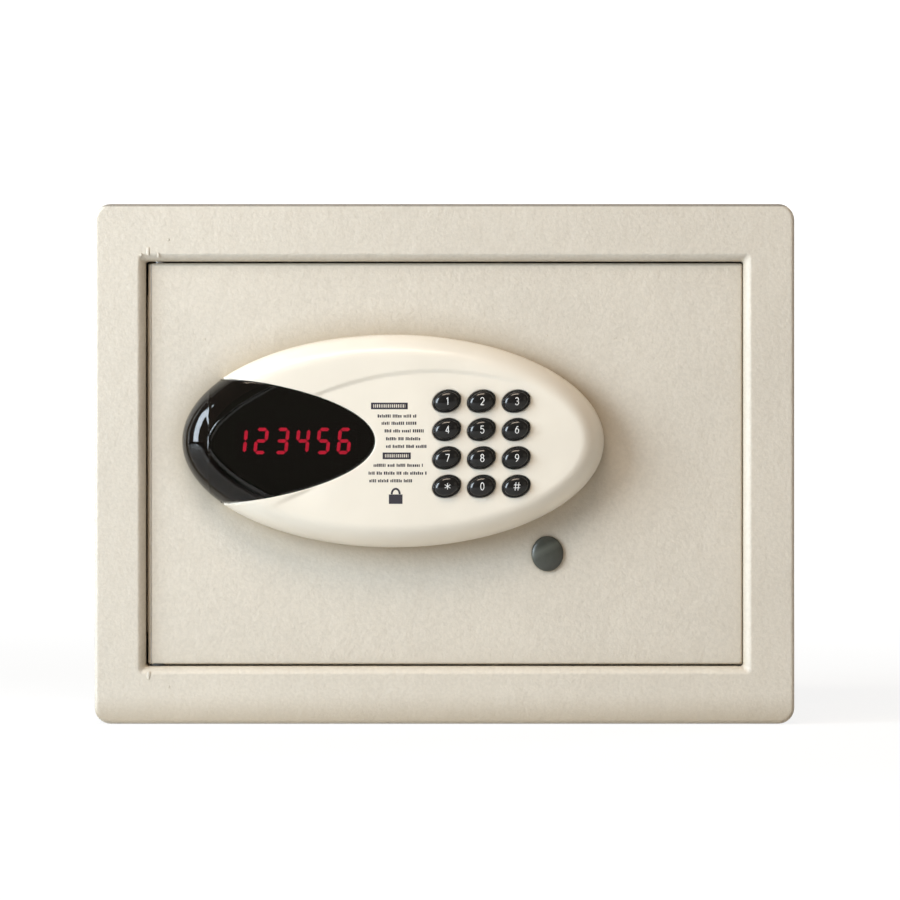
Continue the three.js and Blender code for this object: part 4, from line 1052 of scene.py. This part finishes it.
def guide_print():
    """Rows of meaningless marks under two plain bars, and a plain padlock sign."""
    rng = np.random.default_rng(7)
    patches = []
    lines = [
        (-7.5, 11.3, 12.4),
        (-5.5, 11.8, 8.8),
        (-4, 15.6, 5.0),
        (-3.3, 13.5, 1.1),
        (-3.3, 17, -2.7),
        (-9.5, 14.6, -12.1),
        (-12, 16.6, -16.0),
        (-11.6, 9.2, -19.8),
    ]
    for x0, x1, z in lines:
        x = x0
        left = rng.integers(3, 8)
        while x < x1:
            width = rng.uniform(0.45, 0.8)
            tall = rng.choice([0.78, 0.78, 0.62])
            patches.append(dash(x, x + width, z - 0.78, z - 0.78 + 2 * tall))
            x += width + 0.28
            left -= 1
            if left == 0:
                x += 0.75
                left = rng.integers(3, 9)
    for x0, x1, z in ((-10.8, 7.5, 17.4), (-5, 9, -7.4)):
        patches.append(dash(x0, x1, z + 0.8, z + 1.65, 10))
        patches.append(dash(x0, x1, z - 1.65, z - 0.8, 10))
        patches.append(dash(x0, x0 + 1.2, z - 0.85, z + 0.85))
        patches.append(dash(x1 - 1.2, x1, z - 0.85, z + 0.85))
        x = x0 + 1.2
        while x < x1 - 1.2:
            x += rng.uniform(0.3, 0.55)
            patches.append(dash(x, x + 0.5, z - 0.85, z + 0.85))
            x += 0.5
    patches.append([(-1.9, -31.3), (4.9, -31.3), (4.9, -26.6), (-1.9, -26.6)])
    angles = np.linspace(0, math.pi, 14)
    outer = [(1.5 + 2.5 * math.cos(a), -26.5 + 3.2 * math.sin(a)) for a in angles]
    inner = [(1.5 + 1.5 * math.cos(a), -26.5 + 2.2 * math.sin(a)) for a in angles[::-1]]
    patches.append(outer + inner)
    points, faces = [], []
    for patch in patches:
        add_prism(points, faces, conform(patch, 0.03))
    printed = smooth_outward("guide_print", on_panel(points), faces)
    return settle(printed, "door", "print", "key_plastic")


# ---------------------------------------------------------------- keys and cap
KEY_CROWN = 2.5
KEY_RIM = 0.9  # the crown starts inside a fine rim, at this share of the key's half axes
KEY_GROOVE = 0.15


def key_dome(share):
    """Height of a key's crown above its shoulder, share being 0 at its centre and 1 at its edge."""
    inner = np.clip(share / KEY_RIM, 0, 1)
    return KEY_GROOVE + (KEY_CROWN - KEY_GROOVE) * np.sqrt(1 - inner**2.8)


def elliptic_dome(centre, a, b, tilt, foot, levels):
    """A solid of elliptic rings; levels lists (share of the half axes, height above foot)."""
    segments = 64
    points, faces = [], []
    for share, height in levels[:-1]:
        for i in range(segments):
            angle = 2 * math.pi * i / segments
            u, v = a * share * math.cos(angle), b * share * math.sin(angle)
            x = centre[0] + u * math.cos(tilt) - v * math.sin(tilt)
            z = centre[1] + u * math.sin(tilt) + v * math.cos(tilt)
            points.append((x, foot - height, z))
    top = len(points)
    points.append((centre[0], foot - levels[-1][1], centre[1]))
    rows = len(levels) - 1
    for r in range(rows - 1):
        faces += ring_quads(r * segments, (r + 1) * segments, segments)
    last = (rows - 1) * segments
    faces += [(last + i, last + (i + 1) % segments, top) for i in range(segments)]
    faces.append(tuple(reversed(range(segments))))
    return points, faces


def key_cap(label):
    low, high = box_mm("key_" + label)
    shoulder = -low.y - KEY_CROWN  # in front of the plane through the origin
    levels = [(0.34, -high.y), (0.35, shoulder - 5.2), (1.12, shoulder - 5.2)]
    levels += [(1.12, shoulder - 4.4), (0.985, shoulder - 4.4), (1.0, shoulder - 0.2)]
    levels += [(0.99, shoulder + 0.12), (0.965, shoulder + 0.25), (0.935, shoulder + 0.25)]
    levels.append((0.91, shoulder + KEY_GROOVE))
    for k in range(1, 15):
        share = KEY_RIM * math.cos(math.pi / 2 * k / 14) ** 0.85 if k < 14 else 0.0
        levels.append((share, shoulder + float(key_dome(share))))
    points, faces = elliptic_dome(KEY_CENTRES[label], KEY_A, KEY_B, KEY_TILT, 0.0, levels)
    cap = smooth_outward(f"key_cap_{label}", points, faces, 40)
    return settle(cap, f"key_{label}_button", "key", "key_plastic", "key_" + label)


def arc(cx, cz, rx, rz, start, end, steps=14):
    angles = np.radians(np.linspace(start, end, steps))
    return [(cx + rx * math.cos(a), cz + rz * math.sin(a)) for a in angles]


# Each figure as pen strokes in a box one wide and one high.
STROKES = {
    "1": [[(0.2, 0.8), (0.58, 1), (0.58, 0)]],
    "2": [arc(0.5, 0.7, 0.46, 0.3, 165, -35) + [(0.05, 0), (1, 0)]],
    "3": [arc(0.47, 0.74, 0.42, 0.26, 155, -85) + arc(0.47, 0.27, 0.48, 0.27, 88, -155)],
    "4": [[(1, 0.27), (0, 0.27), (0.72, 1), (0.72, 0)]],
    "5": [[(0.92, 1), (0.14, 1), (0.07, 0.53)] + arc(0.46, 0.32, 0.5, 0.32, 130, -155)],
    "6": [
        [(0.82, 1), (0.45, 0.85)]
        + arc(0.5, 0.33, 0.46, 0.45, 150, 185, 4)
        + arc(0.5, 0.31, 0.46, 0.31, 190, 530)
    ],
    "7": [[(0, 1), (1, 1), (0.35, 0)]],
    "8": [arc(0.5, 0.76, 0.38, 0.24, -90, 270, 22), arc(0.5, 0.26, 0.47, 0.26, 90, 450, 22)],
    "9": [
        [(0.18, 0), (0.55, 0.15)]
        + arc(0.5, 0.67, 0.46, 0.45, -30, 5, 4)
        + arc(0.5, 0.69, 0.46, 0.31, 10, 350)
    ],
    "0": [arc(0.5, 0.5, 0.46, 0.5, 90, 450, 26)],
    "star": [
        [(0.5, 0.06), (0.5, 0.94)],
        [(-0.25, 0.27), (1.25, 0.73)],
        [(-0.25, 0.73), (1.25, 0.27)],
    ],
    "hash": [
        [(-0.06, -0.06), (0.22, 1.06)],
        [(0.74, -0.06), (1.02, 1.06)],
        [(-0.36, 0.7), (1.42, 0.7)],
        [(-0.46, 0.3), (1.32, 0.3)],
    ],
}


def densify(line, spacing):
    points = [line[0]]
    for (x0, z0), (x1, z1) in zip(line, line[1:]):
        steps = max(1, int(math.hypot(x1 - x0, z1 - z0) / spacing))
        for k in range(1, steps + 1):
            points.append((x0 + (x1 - x0) * k / steps, z0 + (z1 - z0) * k / steps))
    return np.array(points)


def ribbon(line, width, height, lift, points, faces):
    """Adds a thin strip of ink along a line; height gives the surface it lies on."""
    along = np.gradient(line, axis=0)
    along /= np.linalg.norm(along, axis=1)[:, None] + 1e-9
    normal = np.stack([-along[:, 1], along[:, 0]], axis=1)
    left, right = line + normal * width / 2, line - normal * width / 2
    base = len(points)
    for l, r in zip(left, right):
        for edge in (l, r):
            level = float(height(np.array(edge[0]), np.array(edge[1])))
            points.append((edge[0], -(level + lift), edge[1]))
            points.append((edge[0], -(level - INK_SINK), edge[1]))
    for i in range(len(line) - 1):
        a, b = base + 4 * i, base + 4 * i + 4
        faces += [(a, a + 2, b + 2, b), (a + 1, b + 1, b + 3, a + 3)]
        faces += [(a, b, b + 1, a + 1), (a + 2, a + 3, b + 3, b + 2)]
    end = base + 4 * (len(line) - 1)
    faces += [(base, base + 1, base + 3, base + 2), (end, end + 2, end + 3, end + 1)]


FIGURE_W = 1.8
FIGURE_H = 3.6
PEN = 0.4
SIGN_PEN = 0.32  # a finer pen for the star and the hash
INK_SINK = 0.12  # how deep the ink's underside lies in the key


def key_mark(label):
    """The key's figure, drawn in white on its crown."""
    low, _ = box_mm("key_" + label)
    centre = KEY_CENTRES[label]
    shoulder = -low.y - KEY_CROWN

    def crown(x, z):
        u, v = key_unturned(x, z)
        return shoulder + key_dome(np.hypot(u / KEY_A, v / KEY_B))

    points, faces = [], []
    for k, stroke in enumerate(STROKES[label]):
        line = [((u - 0.5) * FIGURE_W + 0.4, (v - 0.5) * FIGURE_H) for u, v in stroke]
        pen = PEN if label.isdigit() else SIGN_PEN
        ribbon(densify(line, 0.3), pen, crown, 0.03 + 0.006 * k, points, faces)
    placed = [(centre[0] + x, y, centre[1] + z) for x, y, z in points]
    mark = smooth_outward(f"key_mark_{label}", placed, faces, 50)
    return settle(mark, f"key_{label}_button", "mark", "key_plastic")


CAP_SHOULDER = 0.6
CAP_CROWN = 2.3


def lock_cap():
    low, high = CAP
    centre = middle_xz("override_cap")
    a, b = (high.x - low.x) / 2, (high.z - low.z) / 2
    foot = DOOR_Y0
    levels = [(0.5, foot - high.y), (0.5, 0.12), (0.985, 0.12), (1.0, 0.4), (1.0, CAP_SHOULDER)]
    for k in range(1, 13):
        share = math.cos(math.pi / 2 * k / 12) ** 0.8 if k < 12 else 0.0
        levels.append((share, CAP_SHOULDER + CAP_CROWN * math.sqrt(1 - share**2)))
    points, faces = elliptic_dome(centre, a, b, 0.0, foot, levels)
    cap = smooth_outward("lock_cap", points, faces, 40)
    return settle(cap, "cap", "cap", "cap_plastic", "override_cap")


# ---------------------------------------------------------------- felt
def felt_mat():
    """Needle felt cut to the floor: an uneven top, soft edges and two clearance holes."""
    low, high = box_mm("floor_mat")
    step = 3.0
    columns = int((high.x - low.x) / step)
    rows = int((high.y - low.y) / step)
    rng = np.random.default_rng(3)
    rough = rng.normal(0, 0.12, (rows + 1, columns + 1))
    xs = np.linspace(low.x, high.x, columns + 1)
    ys = np.linspace(low.y, high.y, rows + 1)
    points, faces = [], []
    for r, y in enumerate(ys):
        for c, x in enumerate(xs):
            edge = min(x - low.x, high.x - x, y - low.y, high.y - y)
            droop = 1.0 * math.exp(-edge / 1.2)
            points.append((x, y, high.z - 0.3 - droop + rough[r][c]))
    points += [(x, y, low.z) for y in ys for x in xs]
    wide = columns + 1
    under = wide * (rows + 1)
    for r in range(rows):
        for c in range(columns):
            a = r * wide + c
            faces.append((a, a + 1, a + wide + 1, a + wide))
            faces.append((under + a, under + a + wide, under + a + wide + 1, under + a + 1))
    rim = list(range(columns + 1))
    rim += [r * wide + columns for r in range(1, rows + 1)]
    rim += [rows * wide + c for c in range(columns - 1, -1, -1)]
    rim += [r * wide for r in range(rows - 1, 0, -1)]
    for i, a in enumerate(rim):
        b = rim[(i + 1) % len(rim)]
        faces.append((a, under + a, under + b, b))
    mat = outward(new_object("felt_mat", points, faces))
    carve(mat, [bar("z", FIXING_R + 1, (x, FIXING_Y), low.z - 2, high.z + 2) for x in FIXING_X])
    smooth(mat, 60)
    return settle(mat, "cabinet", "felt", "felt", "floor_mat")


# ---------------------------------------------------------------- CAD nodes that stay
CARRIED = {
    "paint": ["strike_plate", "door_cover"],
    "steel": [
        *(f"hinge_{part}_{end}" for part in ("pin", "block") for end in ("lower", "upper")),
        *(f"cover_screw_{i}" for i in range(1, 5)),
        "bolt_guide",
        "gear_motor",
        "motor_bracket",
        "bolt_carriage",
        "locking_bolt_lower",
        "locking_bolt_upper",
        "lock_crank",
        "panel_screw_1",
        "panel_screw_2",
    ],
    "brass": [
        "guide_stud_lower",
        "guide_stud_upper",
        "drive_pinion",
        "lock_cylinder",
        "lock_nut",
        "lock_plug",
    ],
    "black": ["hinge_washer", "display_module", "battery_box", "battery_cover"],
    "board": ["keypad_board", "control_board"],
    "rubber": ["key_membrane"],
    "cable": ["ribbon_cable"],
    "cell": [f"battery_{i}" for i in range(1, 5)],
}


def dress_carried_nodes():
    for finish, names in CARRIED.items():
        for name in names:
            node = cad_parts[name]
            finish_with(node, finish)
            weld = node.modifiers.new("weld", "WELD")
            weld.merge_threshold = 1e-6
            edge = node.modifiers.new("edge", "BEVEL")
            edge.width = 0.25 * MM
            edge.segments = 2
            edge.limit_method = "ANGLE"
            edge.angle_limit = math.radians(50)
            smooth(node, 50)
            flat = node.modifiers.new("flat", "WEIGHTED_NORMAL")
            flat.weight = 100
            flat.keep_sharp = True


# ---------------------------------------------------------------- studio
def stage_material():
    """Pale paper that looks nearly white to the camera and still takes a soft shadow."""
    m = Material("pale_paper")
    tone = m.mix(m.noise(300, 2), (0.7, 0.7, 0.69), (0.73, 0.73, 0.72))
    diffuse = m.add("BsdfDiffuse", Color=tone)
    glow = m.add("Emission", Color=(1, 1, 1), Strength=PAPER_GLOW)
    seen = m.add("LightPath").outputs["Is Camera Ray"]
    distance = m.add("VectorMath", {"operation": "LENGTH"})
    m.wire(m.add("NewGeometry").outputs["Position"], distance.inputs[0])
    share = m.span(distance.outputs["Value"], PAPER_SHARE, 1, *PAPER_FADE)
    return m.done(m.blend(m.times(seen, share), diffuse, glow))


def studio():
    """A paper sweep: a floor that turns up behind the object in one curve."""
    half, radius, top, drop = 9000, 2500, 6000.0, 0.3
    profile = [(-half, 0.0), (half - radius, 0.0)]
    for a in quarter(16):
        profile.append((half - radius + radius * math.sin(a), radius * (1 - math.cos(a))))
    profile.append((half, top))
    points = [(x, y, z - drop) for x in (-half, half) for y, z in profile]
    n = len(profile)
    faces = [(i, i + 1, n + i + 1, n + i) for i in range(n - 1)]
    sweep = new_object("studio_sweep", points, faces)
    sweep.data.materials.append(stage_material())


def soft_light(name, place, size, power, colour):
    lamp = bpy.data.lights.new(name, "AREA")
    lamp.shape = "RECTANGLE"
    lamp.size, lamp.size_y = size
    lamp.energy = power
    lamp.color = colour
    light = in_scene(name, lamp)
    light.location = place
    light.rotation_euler = (Vector(AIM) - Vector(place)).to_track_quat("-Z", "Y").to_euler()


AIM = (0, FRONT_Y * MM, 0.14)
# name, place, size, watts, colour; all metres
LIGHTS = [
    ("window", (-1.72, -1.03, 0.7), (1.0, 1.2), 57, (0.79, 0.9, 1.0)),
    ("ceiling", (-0.35, -1.2, 1.95), (1.2, 0.6), 23, (1.0, 0.83, 0.67)),
    ("room", (1.6, -1.9, 0.4), (1.0, 1.3), 2, (1.0, 0.9, 0.74)),
    ("rear", (1.6, 1.9, 1.3), (1.2, 1.2), 30, (1.0, 0.97, 0.93)),
]
AIR_COLOUR = (1.0, 0.86, 0.7)
AIR_STRENGTH = 0.04
AIR_MIRRORED = 0.22  # the dim room that glossy pieces reflect
PAPER_GLOW = 1.12
PAPER_FADE = (0.5, 2.5)  # metres from the safe over which the paper's own glow takes over
PAPER_SHARE = 0.75  # how much of what the camera sees of the paper near the safe is its own glow


def lights():
    world = bpy.data.worlds.new("studio_air")
    bpy.context.scene.world = world
    world.use_nodes = True
    m = Nodes(world.node_tree)
    path = m.add("LightPath").outputs
    strength = m.span(path["Is Glossy Ray"], AIR_STRENGTH, AIR_MIRRORED)
    warm = m.add("Background", Color=AIR_COLOUR, Strength=strength)
    white = m.add("Background", Color=(1, 1, 1), Strength=1.0)
    air = m.blend(path["Is Camera Ray"], warm, white)
    m.wire(air, m.add("OutputWorld").inputs["Surface"])
    for light in LIGHTS:
        soft_light(*light)


def camera():
    """A long lens, level with the panel, as in a flat product view that the front face fills."""
    lens, sensor = 220.0, 36.0
    picture_width = 0.45
    aside, above = 2.75, 6.9  # where the camera looks, from the middle of the front face
    data = bpy.data.cameras.new("camera")
    data.lens = lens
    data.sensor_width = sensor
    view = in_scene("camera", data)
    away = picture_width / 2 / (sensor / 2 / lens)
    view.location = (aside * MM, FRONT_Y * MM - away, (HEIGHT / 2 + above) * MM)
    view.rotation_euler = (math.pi / 2, 0, 0)
    bpy.context.scene.camera = view


def main():
    cabinet_shell()
    back_sheet()
    felt_mat()
    door_leaf()
    panel_shell()
    panel_lens()
    display_digits()
    guide_print()
    for label in KEY_LABELS:
        key_cap(label)
        key_mark(label)
    lock_cap()
    dress_carried_nodes()
    studio()
    lights()
    camera()
    bpy.context.scene.view_settings.view_transform = "Standard"


main()
